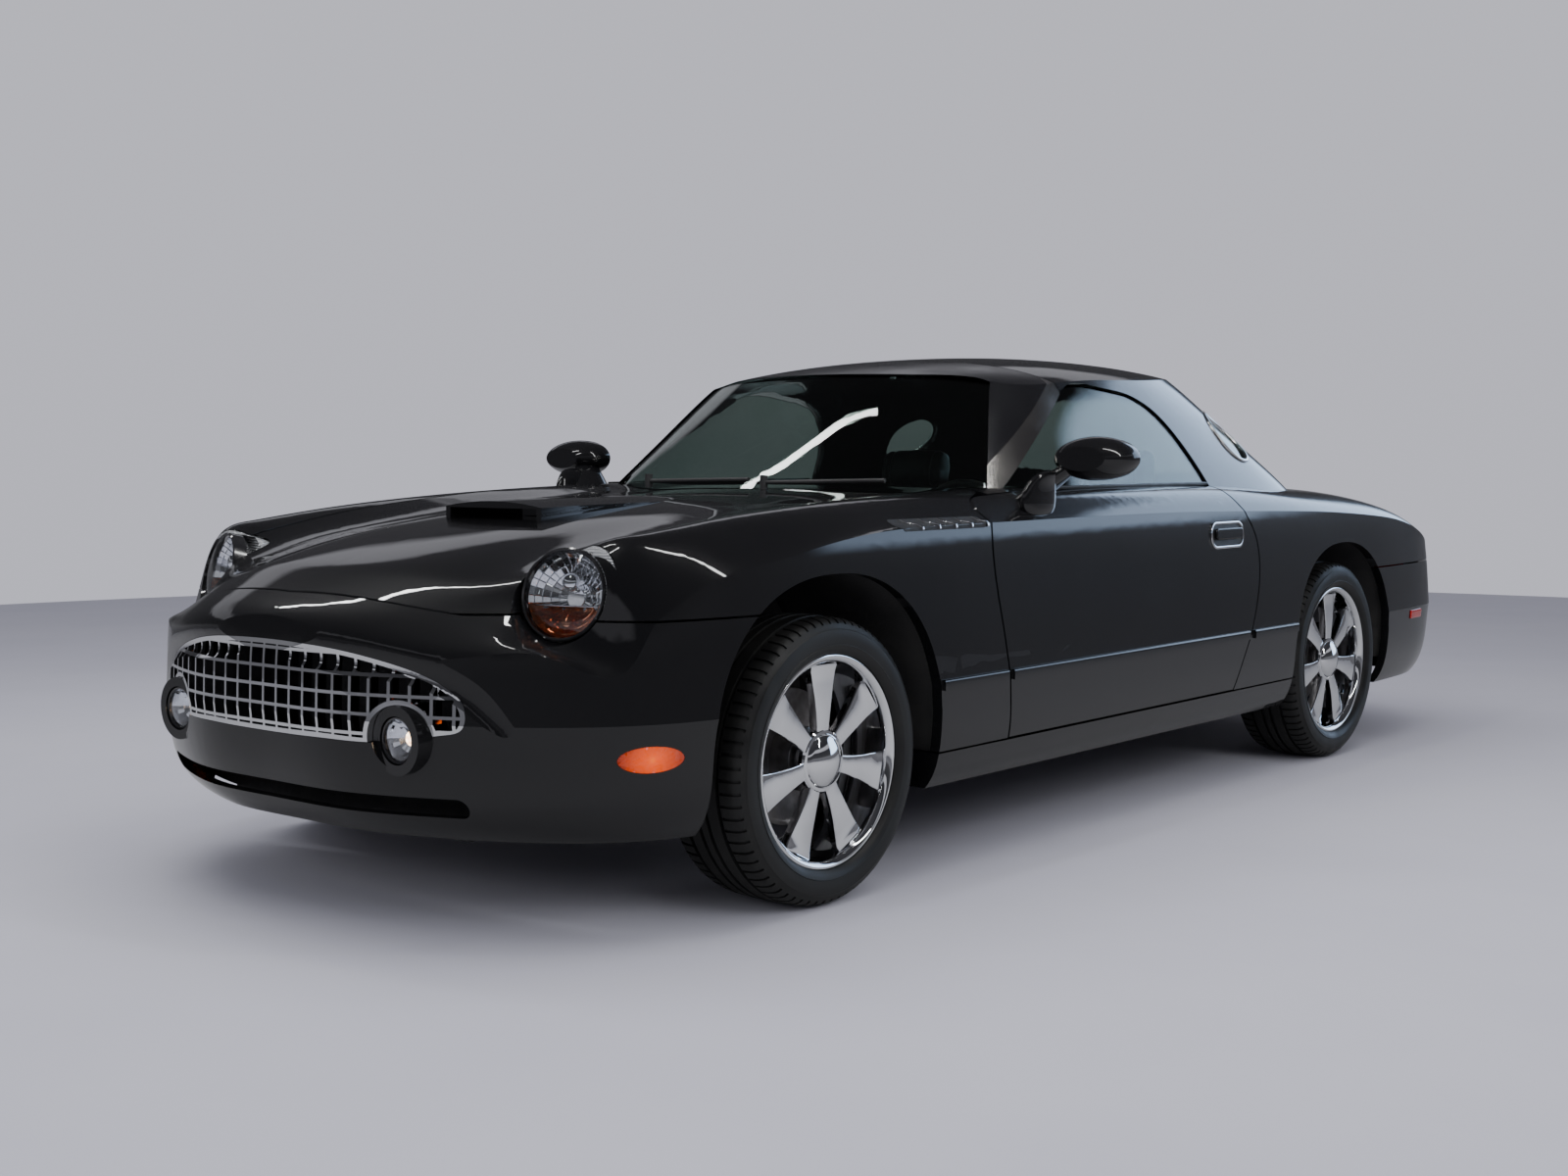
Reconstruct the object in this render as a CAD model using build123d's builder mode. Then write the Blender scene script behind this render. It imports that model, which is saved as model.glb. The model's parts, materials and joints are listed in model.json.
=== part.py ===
from build123d import *
from math import cos, pi, radians, sin, sqrt
import os

os.makedirs("parts", exist_ok=True)

# A two-seat roadster with its removable hard top fitted, at full size.
# +X is the car's left side, the nose points along -Y, +Z is up, the ground is z = 0.

# ---- driving dimensions (mm) ----
LENGTH = 4732.0
WIDTH = 1829.0
ROOF_Z = 1323.0
WHEELBASE = 2723.0
FRONT_OVERHANG = 890.0
TRACK = 1536.0
TYRE_R = 330.0
TYRE_W = 235.0
RIM_R = 237.0
RIM_W = 200.0
GROOVE_PITCH = 40.0
GROOVE_W = 8.0
GROOVE_DEPTH = 8.0
SHOULDER = 28.0

NOSE_Y = -LENGTH / 2
TAIL_Y = LENGTH / 2
FRONT_AXLE = NOSE_Y + FRONT_OVERHANG
REAR_AXLE = FRONT_AXLE + WHEELBASE
HALF_W = WIDTH / 2
WHEEL_X = TRACK / 2

# ---- walls and gaps ----
SKIN = 28.0          # fenders, hood, bumpers, roof, with their inner panels
DOOR_WALL = 95.0     # outer panel to door trim
GAP = 5.0            # shut lines
HINGE_GAP = 9.0      # extra room on the inner side of a door's edges
HEM = 7.0            # outer sheet of the hood, alone at its front edge
HEM_SETBACK = 16.0
GLASS = 6.0
SEAL = 8.0

# ---- heights that several panels share ----
CREASE_Z = 468.0     # side moulding
SILL_SEAM_Z = 305.0
FRONT_SEAM_Z = 678.0
REAR_SEAM_Z = 628.0

# ---- wheel arches (superellipse) ----
ARCH_Z = 350.0
ARCH_A = 385.0
ARCH_POWER = 2.3
FRONT_ARCH_B = 405.0
REAR_ARCH_B = 375.0
LINER = 8.0
FRONT_WELL_X = 452.0
REAR_WELL_X = 610.0

# half outline of the body at the crease line, nose centre to tail centre
PLAN = [
    (0, NOSE_Y), (250, NOSE_Y + 9), (450, NOSE_Y + 70), (620, NOSE_Y + 154), (740, NOSE_Y + 251),
    (820, NOSE_Y + 361), (870, -1860), (898, -1660), (HALF_W - 6, -1400), (HALF_W - 1, -1000),
    (HALF_W, -400), (HALF_W, 300), (HALF_W, 800), (HALF_W - 1, 1250), (HALF_W - 6, 1600),
    (898, 1850), (878, TAIL_Y - 326), (842, TAIL_Y - 211), (780, TAIL_Y - 140),
    (680, TAIL_Y - 85), (500, TAIL_Y - 39), (250, TAIL_Y - 9), (0, TAIL_Y),
]
# height, then how far the nose, the sides and the tail lie inside PLAN
LEVELS_LOW = [(215, 90, 56, 150), (300, 17, 15, 70), (385, 4, 5, 30), (CREASE_Z, 0, 0, 0)]
LEVELS_HIGH = [
    (CREASE_Z, 0, 0, 0), (567, 4, 5, 16), (640, 12, 9, 44), (702, 26, 13, 82),
    (780, 55, 18, 150), (860, 100, 27, 240), (960, 190, 56, 380),
]

# the top of the body: heights at half widths COLUMNS, on stations along the car
COLUMNS = [0, 250, 480, 650, 790, 890, 1000]
STATIONS = [
    (NOSE_Y - 74, [560, 548, 505, 450, 370, 290, 190]),
    (NOSE_Y, [634, 626, 592, 545, 468, 390, 290]),
    (NOSE_Y + 86, [722, 714, 676, 622, 548, 472, 370]),
    (-2180, [770, 764, 735, 712, 650, 572, 470]),
    (-2060, [803, 798, 780, 836, 776, 682, 580]),
    (-1900, [836, 830, 810, 851, 826, 746, 650]),
    (-1650, [871, 864, 842, 876, 853, 798, 720]),
    (-1300, [898, 892, 875, 902, 882, 842, 780]),
    (-900, [917, 912, 900, 921, 901, 850, 780]),
    (-550, [928, 926, 922, 930, 918, 851, 770]),
    (0, [930, 930, 930, 932, 926, 851, 765]),
    (500, [928, 928, 928, 928, 921, 846, 760]),
    (900, [920, 920, 918, 915, 900, 838, 755]),
    (1300, [910, 909, 906, 900, 876, 822, 745]),
    (1650, [893, 892, 888, 877, 850, 796, 720]),
    (1950, [856, 855, 850, 836, 806, 748, 670]),
    (2150, [806, 804, 796, 780, 745, 690, 610]),
    (2300, [752, 750, 742, 724, 690, 634, 555]),
    (TAIL_Y + 74, [690, 688, 680, 662, 625, 570, 490]),
]
BOW_FROM = 1300.0    # the stations bow with the nose and tail beyond this distance
NOSE_BOW = 3.9e-4
TAIL_BOW = 2.0e-4

# half outlines of the glasshouse at four heights, windscreen centre to rear centre
GLASSHOUSE = [
    (890, [(0, -760), (300, -738), (560, -672), (706, -612), (760, -540), (786, -430), (797, -150),
           (803, 200), (801, 600), (780, 950), (728, 1185), (620, 1360), (440, 1462), (220, 1502), (0, 1512)]),
    (1013, [(0, -668), (290, -642), (520, -572), (640, -505), (690, -432), (714, -330), (730, -80),
            (738, 200), (734, 500), (708, 800), (655, 1045), (555, 1215), (400, 1312), (200, 1350), (0, 1360)]),
    (1142, [(0, -560), (280, -528), (480, -446), (588, -370), (632, -298), (652, -200), (665, 0),
            (670, 200), (664, 430), (636, 670), (585, 870), (490, 1030), (350, 1120), (175, 1154), (0, 1163)]),
    (1262, [(0, -440), (250, -405), (420, -325), (520, -245), (562, -170), (580, -80), (590, 60),
            (594, 200), (586, 370), (556, 560), (505, 730), (420, 860), (300, 935), (150, 966), (0, 975)]),
    (1340, [(0, -300), (200, -278), (325, -220), (412, -145), (448, -75), (468, 0), (480, 90),
            (484, 190), (478, 310), (452, 450), (408, 570), (335, 680), (235, 750), (118, 782), (0, 790)]),
]
# the roof: heights at half widths ROOF_COLUMNS
ROOF_COLUMNS = [0, 250, 420, 540, 640, 740, 880]
ROOF_STATIONS = [
    (-820, [1160, 1152, 1130, 1103, 1068, 1022, 930]),
    (-600, [1215, 1206, 1184, 1156, 1120, 1072, 980]),
    (-400, [1262, 1253, 1230, 1202, 1165, 1118, 1028]),
    (-200, [1292, 1284, 1263, 1236, 1200, 1152, 1062]),
    (0, [1312, 1304, 1283, 1256, 1219, 1170, 1080]),
    (250, [ROOF_Z, 1315, 1294, 1266, 1228, 1177, 1086]),
    (550, [1320, 1312, 1290, 1261, 1221, 1168, 1076]),
    (800, [1305, 1296, 1273, 1243, 1201, 1146, 1052]),
    (1050, [1272, 1262, 1237, 1205, 1162, 1106, 1012]),
    (1350, [1215, 1204, 1177, 1143, 1099, 1042, 948]),
    (1700, [1140, 1128, 1100, 1065, 1020, 962, 868]),
]

# ---- seams seen from the side: (y, z) ----
DOOR_FRONT = [(-640, 965), (-690, 930), (-792, 909), (-848, 878), (-858, 840), (-828, 590),
              (-803, 459), (-793, SILL_SEAM_Z)]
DOOR_REAR = [(448, SILL_SEAM_Z), (549, 488), (600, 610), (611, 700), (585, 780), (526, 850),
             (505, 890), (500, 965)]

# ---- seams seen from above: (x, y) ----
HOOD_SIDE = [(560, -2135), (592, -2000), (632, -1700), (660, -1300), (692, -900), (716, -650)]
HOOD_FRONT = [(0, -2282), (300, -2250), (480, -2188), (560, -2135)]
HOOD_LOW_Z = 691.0
HOOD_REAR = [(716, -650), (400, -742), (0, -792)]
COWL_HALF = 775.0
COWL_FRONT_Y = -700.0
DECK_HALF = 600.0
DECKLID_FRONT_Y = 1560.0
SCREEN_BASE_Y = -480.0

SCOOP_W = 345.0
SCOOP_FRONT_Y = -1700.0
SCOOP_BACK_Y = -1010.0
SCOOP_Z = 908.0
SCOOP_WALL = 16.0
SCOOP_LIP = 17.0
SCOOP_MOUTH = 28.0

# ---- lamps ----
HEADLAMP = (619.0, -2054.0, 730.0)
HEADLAMP_R = 100.0
HEADLAMP_TILT = 13.0
HEADLAMP_TOE = 17.0
HEADLAMP_DEPTH = 62.0
HEADLAMP_DOME = 20.0
HEADLAMP_SEAT = 3.0    # clearance of a headlamp in its opening
RECESS_L = 230.0       # the hollow ahead of a headlamp opens outwards and downwards
RECESS_FLARE = 52.0
RECESS_OUT = 40.0
RECESS_DOWN = 22.0
SWEEP = (44.0, 34.0)   # the ribbed lens, up and out from the round one
SWEEP_R = 74.0
SWEEP_L = 190.0
FOG_LAMP = (398.0, 432.0)
FOG_POD_R = 73.0
TAIL_LAMP = (655.0, 640.0)
TAIL_LAMP_R = 88.0

SIDE_LAMP = (822.0, -2003.0, 395.0)
SIDE_LAMP_L = 142.0
SIDE_LAMP_H = 54.0
SIDE_LAMP_TURN = 40.0
LAMP_DEPTH = 45.0
SLOT_Z = 292.0
SLOT_H = 42.0
GRILLE_PITCH_X = 47.0
GRILLE_PITCH_Z = 41.0
GRILLE_DEPTH = 22.0
GRILLE_BAR = 7.0
GRILLE_Z = 524.0

# ---- glasshouse openings ----
WINDOW = (
    [(-565, 915), (-105, 1196)],
    [(-40, 1214), (120, 1206), (240, 1192)],
    [(310, 1176), (420, 1092), (470, 1000), (492, 915)],
)
FRAME_SIDE = [(-900, 860), (-900, 1400), (-118, 1400), (-118, 1180), (-440, 860)]
TOP_SIDE = [(-112, 1400), (1700, 1400), (1700, 860), (470, 860), (-112, 1200)]
SCREEN_TOP_Z = 1252.0
SCREEN_TOP_X = 522.0
SCREEN_LOW_X = 712.0
REAR_WINDOW_TOP = 1205.0
PORTHOLE = (640.0, 885.0, 1075.0)
PORTHOLE_R = 100.0
PORTHOLE_LEAN = 26.0
MIRROR = (962.0, -495.0, 1008.0)
MIRROR_FOOT = (812.0, -560.0, 905.0)

# ---- cabin and floor ----
CABIN_HALF = 700.0
FIREWALL_Y = -905.0
REAR_BULKHEAD_Y = 715.0
FLOOR_Z = 216.0
FLOOR_WALL = 16.0
SILL_X = 792.0
TUNNEL_HALF = 150.0
TUNNEL_H = 210.0
TUNNEL_ANGLE = 80.0
POST_W = 67.0
POST_INSET = 25.0
POST_L = 120.0
BULKHEAD_TOP_Z = 900.0
APRON_START = 260.0    # from the axle to the front end of the wheelhouse's apron
APRON_LOW_Z = 480.0
APRON_H = 160.0
TRUNK_Z = 440.0
TRUNK_END_Y = 2230.0

WIPERS = [((-420, -716, 942), (0, -748, 950)), ((60, -752, 942), (460, -722, 950))]
WIPER_R = 6.0
WIPER_LIFT = 0.4
PIVOT_R = 11.0
PIVOT_H = 40.0
ENGINE_W = 560.0
ENGINE_H = 480.0
ENGINE_FRONT_Y = -1880.0
ENGINE_BACK_Y = -1010.0
ENGINE_LOW_Z = 320.0
DASH_HALF = 690.0
CONSOLE_HALF = 120.0
SEAT_X = 400.0
SEAT_W = 480.0
STEERING_CENTRE = (385.0, -170.0, 770.0)
STEERING_R = 178.0
COLUMN_TILT = 24.0

# ---- running gear ----
RAIL_X = 390.0
RAIL_Z = 300.0
RAIL_FRONT_Y = -2150.0
RAIL_END_Y = FIREWALL_Y - FLOOR_WALL / 2
ARM_Z = 196.0
ARM_OPENING = 215.0
ARM_OPENING_Z = 470.0
KINGPIN_X = 700.0
STUB_R = 26.0
STUB_END_X = 775.0
DISC_X = 752.0
DISC_R = 158.0
DISC_W = 26.0
CALIPER_W = 20.0
CALIPER_X = DISC_X - DISC_W - 5 - CALIPER_W
HUB_R = 58.0
SPOKES = 7
SPOKE_X = 84.0
BARREL_R = 208.0
WINDOW_INSET = 12.0
WINDOW_RIM = 6.0
WINDOW_NARROW = 8.0
WINDOW_WIDE = 47.0
EXHAUST_Z = 165.0
EXHAUST_R = 28.0
MUFFLER_Y = 2010.0
EXHAUST_TIP_X = 400.0
EXHAUST_TIP_R = 32.0
EXHAUST_END_Y = 2290.0

REACH = 2600.0       # longer than half the car, for cutting tools


def outline_normals(points):
    """Outward normals of a half outline that is mirrored about x = 0."""
    first = (-points[1][0], points[1][1])
    last = (-points[-2][0], points[-2][1])
    around = [first] + points + [last]
    result = []
    for before, after in zip(around, around[2:]):
        dx = after[0] - before[0]
        dy = after[1] - before[1]
        size = sqrt(dx * dx + dy * dy)
        result.append((dy / size, -dx / size))
    return result


def waterline(level, inset):
    """The body's half outline at one height, moved inwards by an inset."""
    _, nose, side, tail = level
    points = []
    for (x, y), (nx, ny) in zip(PLAN, outline_normals(PLAN)):
        end = nose if ny < 0 else tail
        depth = inset + end * ny * ny + side * nx * nx
        points.append((x - depth * nx, y - depth * ny))
    return points


def half_outline(points):
    """A closed half of a mirrored outline, smooth across x = 0."""
    with BuildSketch() as outline:
        with BuildLine():
            Spline(points, tangents=[(1, 0), (-1, 0)])
            Line(points[-1], points[0])
        make_face()
    return outline.sketch


def body_walls(inset):
    with BuildPart() as walls:
        for levels in (LEVELS_LOW, LEVELS_HIGH):
            for level in levels:
                with BuildSketch(Plane.XY.offset(level[0])):
                    add(half_outline(waterline(level, inset)))
            loft()
    return walls.part


def bowed(y, x):
    """A straight station bent to follow the nose or the tail in plan."""
    if y < -BOW_FROM:
        share = (-BOW_FROM - y) / (TAIL_Y - BOW_FROM)
        return y + NOSE_BOW * x * x * share * share
    if y > BOW_FROM:
        share = (y - BOW_FROM) / (TAIL_Y - BOW_FROM)
        return y - TAIL_BOW * x * x * share * share
    return y


def under_surface(columns, stations, drop, depth, bend):
    """The space below a height surface, from its stations."""
    grid = []
    for y, heights in stations:
        half = [(x, bend(y, x), z - drop) for x, z in zip(columns, heights)]
        grid.append([(-px, py, pz) for px, py, pz in reversed(half[1:])] + half)
    surface = Face.make_surface_from_array_of_points(grid, tol=0.5)
    return extrude(surface, amount=depth, dir=(0, 0, -1), mode=Mode.PRIVATE)


def body_block(inset):
    """The left half of the body as one block, its skin moved inwards by an inset."""
    with BuildPart() as block:
        add(body_walls(inset))
        add(under_surface(COLUMNS, STATIONS, inset, 900, bowed), mode=Mode.INTERSECT)
        add(lamp_recess(inset), mode=Mode.SUBTRACT)
    return block.part


def straight(y, x):
    return y


def glasshouse_block(inset):
    """The left half of the glasshouse as one block."""
    with BuildPart() as block:
        for z, points in GLASSHOUSE:
            moved = [
                (x - inset * nx, y - inset * ny)
                for (x, y), (nx, ny) in zip(points, outline_normals(points))
            ]
            with BuildSketch(Plane.XY.offset(z)):
                add(half_outline(moved))
        loft()
        roof = under_surface(ROOF_COLUMNS, ROOF_STATIONS, inset, 700, straight)
        add(roof, mode=Mode.INTERSECT)
    return block.part


def arch_points(axle, grow, height, count=24):
    """Upper half of a wheel arch, a superellipse, front to rear."""
    points = []
    for k in range(count + 1):
        angle = pi * k / count
        c, s = cos(angle), sin(angle)
        reach = 2 / ARCH_POWER
        y = -(abs(c) ** reach) * (1 if c > 0 else -1)
        z = s ** reach
        points.append((axle + (ARCH_A + grow) * y, ARCH_Z + (height + grow) * z))
    return points


def arch_sketch(axle, grow, height):
    """A wheel arch opening seen from the side, open to the ground."""
    points = arch_points(axle, grow, height)
    low = 60.0
    with BuildSketch() as arch:
        with BuildLine():
            Spline(points, tangents=[(0, 1), (0, -1)])
            Line(points[-1], (points[-1][0], low))
            Line((points[-1][0], low), (points[0][0], low))
            Line((points[0][0], low), points[0])
        make_face()
    return arch.sketch


def side_plane(x):
    """Side view: sketch x runs to the rear, sketch y runs up, looking from the left."""
    return Plane(origin=(x, 0, 0), x_dir=(0, 1, 0), z_dir=(1, 0, 0))


def polygon(points):
    """A closed outline with straight sides."""
    with BuildSketch() as outline:
        with BuildLine():
            Polyline(*points, close=True)
        make_face()
    return outline.sketch


def door_outline(margin):
    """The door from the side, its shut lines moved inwards by a margin."""
    front = [(y + margin, z) for y, z in DOOR_FRONT]
    rear = [(y - margin, z) for y, z in DOOR_REAR]
    front[-1] = (front[-1][0], SILL_SEAM_Z + margin)
    rear[0] = (rear[0][0], SILL_SEAM_Z + margin)
    with BuildSketch() as outline:
        with BuildLine():
            Spline(front)
            Line(front[-1], rear[0])
            Spline(rear)
            Line(rear[-1], front[0])
        make_face()
    return outline.sketch


def ahead_of_door():
    """Side view of all that lies ahead of the door and above the sill."""
    seam = [(y - GAP / 2, z) for y, z in DOOR_FRONT]
    low = SILL_SEAM_Z + GAP / 2
    seam[-1] = (seam[-1][0], low)
    with BuildSketch() as outline:
        with BuildLine():
            Spline(seam)
            Polyline(seam[-1], (-REACH, low), (-REACH, seam[0][1]), seam[0])
        make_face()
    return outline.sketch


def behind_door():
    """Side view of all that lies behind the door and above the sill."""
    seam = [(y + GAP / 2, z) for y, z in DOOR_REAR]
    low = SILL_SEAM_Z + GAP / 2
    seam[0] = (seam[0][0], low)
    with BuildSketch() as outline:
        with BuildLine():
            Spline(seam)
            Polyline(seam[-1], (REACH, seam[-1][1]), (REACH, low), seam[0])
        make_face()
    return outline.sketch


def hood_outline(margin):
    """The left half of the hood from above, moved inwards by a margin."""
    front = [(x, y + margin) for x, y in HOOD_FRONT]
    side = [(x - margin, y) for x, y in HOOD_SIDE]
    rear = [(x, y - margin) for x, y in HOOD_REAR]
    side[0] = (side[0][0], front[-1][1])
    front[-1] = side[0]
    side[-1] = (side[-1][0], rear[0][1])
    rear[0] = side[-1]
    with BuildSketch() as outline:
        with BuildLine():
            Spline(front)
            Spline(side)
            Spline(rear)
            Line(rear[-1], front[0])
        make_face()
    return outline.sketch


def lamp_plane():
    """The plane of the left headlamp's ring, its Z out along the beam and up."""
    tilt = radians(HEADLAMP_TILT)
    toe = radians(HEADLAMP_TOE)
    out = (sin(toe) * cos(tilt), -cos(toe) * cos(tilt), sin(tilt))
    return Plane(origin=HEADLAMP, x_dir=(cos(toe), sin(toe), 0), z_dir=out)


def lamp_recess(grow):
    """The hollow ahead of the left headlamp, its walls moved outwards by a growth."""
    near = lamp_plane().offset(-grow)
    with BuildPart() as recess:
        with BuildSketch(near):
            Circle(HEADLAMP_R + HEADLAMP_SEAT + grow)
        with BuildSketch(near.offset(RECESS_L)):
            with Locations((RECESS_OUT, -RECESS_DOWN)):
                Circle(HEADLAMP_R + RECESS_FLARE + grow)
        loft()
    return recess.part


def lamp_hole(clearance):
    """The round hole through the panels for the left headlamp."""
    with BuildPart() as hole:
        with BuildSketch(lamp_plane().offset(-HEADLAMP_DEPTH - GAP)):
            Circle(HEADLAMP_R + clearance)
        extrude(amount=HEADLAMP_DEPTH + GAP + RECESS_L / 2)
    return hole.part


def lamp_sweep(margin):
    """Outline of the whole left lamp along its beam: the round lens and the ribbed one."""
    with BuildSketch(lamp_plane()) as outline:
        Circle(HEADLAMP_R - margin)
        with Locations(SWEEP):
            Circle(SWEEP_R - margin)
        make_hull()
    return outline.sketch


def publish(piece, name):
    piece.label = name
    export_step(piece, f"parts/{name}.step")


BODY = body_block(0)
BODY_INSIDE = body_block(SKIN)
with BuildPart() as skin_builder:
    add(BODY)
    add(BODY_INSIDE, mode=Mode.SUBTRACT)
BODY_SKIN = skin_builder.part
with BuildPart() as inside_builder:
    add(BODY_INSIDE)
    mirror(about=Plane.YZ)
BODY_INSIDE_BOTH = inside_builder.part
DOOR_INSIDE = body_walls(DOOR_WALL)
GLASSHOUSE_OUT = glasshouse_block(0)
with BuildPart() as roof_builder:
    add(GLASSHOUSE_OUT)
    add(glasshouse_block(SKIN), mode=Mode.SUBTRACT)
ROOF_SKIN = roof_builder.part
with BuildPart() as pane_builder:
    add(glasshouse_block(SEAL))
    add(glasshouse_block(SEAL + GLASS), mode=Mode.SUBTRACT)
PANES = pane_builder.part
LAMP_INSIDE = body_block(LAMP_DEPTH)
BODY_HEM = body_block(HEM)


# ---------------------------------------------------------------- hood
def make_hood():
    with BuildPart() as hood:
        add(BODY_SKIN)
        with BuildSketch(Plane.XY.offset(500)):
            add(hood_outline(GAP / 2))
        extrude(amount=600, mode=Mode.INTERSECT)
        add(lamp_hole(GAP), mode=Mode.SUBTRACT)
        add(extrude(lamp_sweep(-GAP), amount=-SWEEP_L, mode=Mode.PRIVATE), mode=Mode.SUBTRACT)
        with Locations((0, 0, HOOD_LOW_Z)):
            Box(2 * WIDTH, 2 * LENGTH, WIDTH, align=(Align.CENTER, Align.CENTER, Align.MAX), mode=Mode.SUBTRACT)
        with BuildSketch(Plane.XY.offset(500)):
            add(hood_outline(GAP / 2 - 1))
            add(hood_outline(GAP / 2 + HEM_SETBACK), mode=Mode.SUBTRACT)
            add(polygon([(0, -1950), (1000, -1950), (1000, 0), (0, 0)]), mode=Mode.SUBTRACT)
        hem = extrude(amount=600, mode=Mode.PRIVATE)
        add(hem.intersect(BODY_HEM), mode=Mode.SUBTRACT)
        mirror(about=Plane.YZ)
        for y, width, low, high in (
            (SCOOP_FRONT_Y, SCOOP_W, 848, SCOOP_Z), (SCOOP_FRONT_Y + 220, SCOOP_W * 0.94, 862, SCOOP_Z + 4),
            (SCOOP_BACK_Y, SCOOP_W * 0.7, 885, SCOOP_Z + 3),
        ):
            with BuildSketch(Plane(origin=(0, y, 0), x_dir=(1, 0, 0), z_dir=(0, -1, 0))):
                with BuildLine():
                    ThreePointArc((-width / 2, high - 14), (0, high), (width / 2, high - 14))
                    Polyline((width / 2, high - 14), (width / 2, low), (-width / 2, low),
                             (-width / 2, high - 14))
                make_face()
        loft()
        with BuildSketch(Plane(origin=(0, SCOOP_FRONT_Y, 0), x_dir=(1, 0, 0), z_dir=(0, -1, 0))):
            with Locations((0, SCOOP_Z - SCOOP_LIP)):
                Rectangle(SCOOP_W - 2 * SCOOP_WALL, SCOOP_MOUTH, align=(Align.CENTER, Align.MAX))
        extrude(amount=-120, mode=Mode.SUBTRACT)
    return hood.part


# ---------------------------------------------------------------- doors
def make_door():
    with BuildPart() as door:
        with BuildSketch(side_plane(HALF_W + 20)):
            add(door_outline(GAP / 2))
        with BuildSketch(side_plane(HALF_W - DOOR_WALL - 60)):
            add(door_outline(GAP / 2 + HINGE_GAP))
        loft()
        add(BODY, mode=Mode.INTERSECT)
        add(DOOR_INSIDE, mode=Mode.SUBTRACT)
    return door.part


def window_outline(margin):
    """The side window from the side, moved inwards by a margin."""
    front, roof, rear = WINDOW
    front = [(y + margin, z) for y, z in front]
    roof = [(y, z - margin) for y, z in roof]
    rear = [(y - margin, z) for y, z in rear]
    with BuildSketch() as outline:
        with BuildLine():
            Line(front[0], front[1])
            Spline([front[1]] + roof + [rear[0]])
            Spline(rear)
            Line(rear[-1], front[0])
        make_face()
    return outline.sketch


def make_side_glass():
    with BuildPart() as glass:
        add(PANES)
        with BuildSketch(side_plane(0)):
            add(window_outline(GAP / 2))
        extrude(amount=1000, mode=Mode.INTERSECT)
        add(BODY, mode=Mode.SUBTRACT)
    return glass.part


def make_mirror():
    """A painted shell on a foot at the front corner of the door glass."""
    x, y, z = MIRROR
    with BuildPart() as shell:
        with BuildSketch(Plane(origin=(x, y - 62, z), x_dir=(1, 0, 0), z_dir=(0, 1, 0))):
            Ellipse(70, 32)
        with BuildSketch(Plane(origin=(x, y - 20, z), x_dir=(1, 0, 0), z_dir=(0, 1, 0))):
            Ellipse(104, 52)
        with BuildSketch(Plane(origin=(x, y + 48, z), x_dir=(1, 0, 0), z_dir=(0, 1, 0))):
            Ellipse(112, 56)
        loft()
        with BuildSketch(Plane(origin=(x, y + 48, z), x_dir=(1, 0, 0), z_dir=(0, 1, 0))):
            Ellipse(100, 46)
        extrude(amount=-14, mode=Mode.SUBTRACT)
        with BuildSketch(Plane(origin=(MIRROR_FOOT[0], MIRROR_FOOT[1], MIRROR_FOOT[2]))):
            Ellipse(34, 70)
        with BuildSketch(Plane(origin=(x - 60, y - 10, z - 20))):
            Ellipse(30, 40)
        loft()
        add(BODY, mode=Mode.SUBTRACT)
    return shell.part


# ---------------------------------------------------------------- fixed outer panels
def make_front_fender():
    with BuildPart() as fender:
        add(BODY_SKIN)
        with BuildSketch(side_plane(0)):
            add(ahead_of_door())
        extrude(amount=1000, mode=Mode.INTERSECT)
        with BuildSketch(side_plane(0)):
            add(arch_sketch(FRONT_AXLE, 0, FRONT_ARCH_B))
            add(polygon([(-REACH, 0), (FRONT_AXLE, 0), (FRONT_AXLE, FRONT_SEAM_Z + GAP / 2),
                         (-REACH, FRONT_SEAM_Z + GAP / 2)]))
        extrude(amount=1000, mode=Mode.SUBTRACT)
        with BuildSketch(Plane.XY.offset(300)):
            add(hood_outline(-GAP / 2))
            add(polygon([(0, -REACH), (HOOD_SIDE[0][0] + 30, -REACH), (HOOD_SIDE[0][0] + 30, -2100),
                         (0, -2100)]))
            add(polygon([(0, HOOD_REAR[-1][1] - 10), (HOOD_SIDE[-1][0], HOOD_REAR[-1][1] - 10),
                         (HOOD_SIDE[-1][0], COWL_FRONT_Y), (COWL_HALF, COWL_FRONT_Y), (COWL_HALF, 0), (0, 0)]))
        extrude(amount=800, mode=Mode.SUBTRACT)
        add(lamp_hole(HEADLAMP_SEAT), mode=Mode.SUBTRACT)
        add(extrude(lamp_sweep(-HEADLAMP_SEAT), amount=-SWEEP_L, mode=Mode.PRIVATE), mode=Mode.SUBTRACT)
    return fender.part


def grille_outline(margin):
    """Half of the oval grille opening from ahead, moved inwards by a margin."""
    points = [(0, 624 - margin), (230, 614 - margin), (400, 582 - margin), (500, 540 - margin),
              (540 - margin, 488), (534 - margin, 462), (490, 446 + margin), (420, 432 + margin),
              (230, 424 + margin), (0, 422 + margin)]
    with BuildSketch() as outline:
        with BuildLine():
            Spline(points, tangents=[(1, 0), (-1, 0)])
            Line(points[-1], points[0])
        make_face()
    return outline.sketch


def nose_plane(y):
    """Front view: sketch x is the car's left, sketch y runs up."""
    return Plane(origin=(0, y, 0), x_dir=(1, 0, 0), z_dir=(0, -1, 0))


def marker_plane():
    """The plane of the left side lamp, near the corner of the bumper."""
    turn = radians(SIDE_LAMP_TURN)
    return Plane(origin=SIDE_LAMP, x_dir=(sin(turn), cos(turn), 0), z_dir=(cos(turn), -sin(turn), 0))


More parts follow.
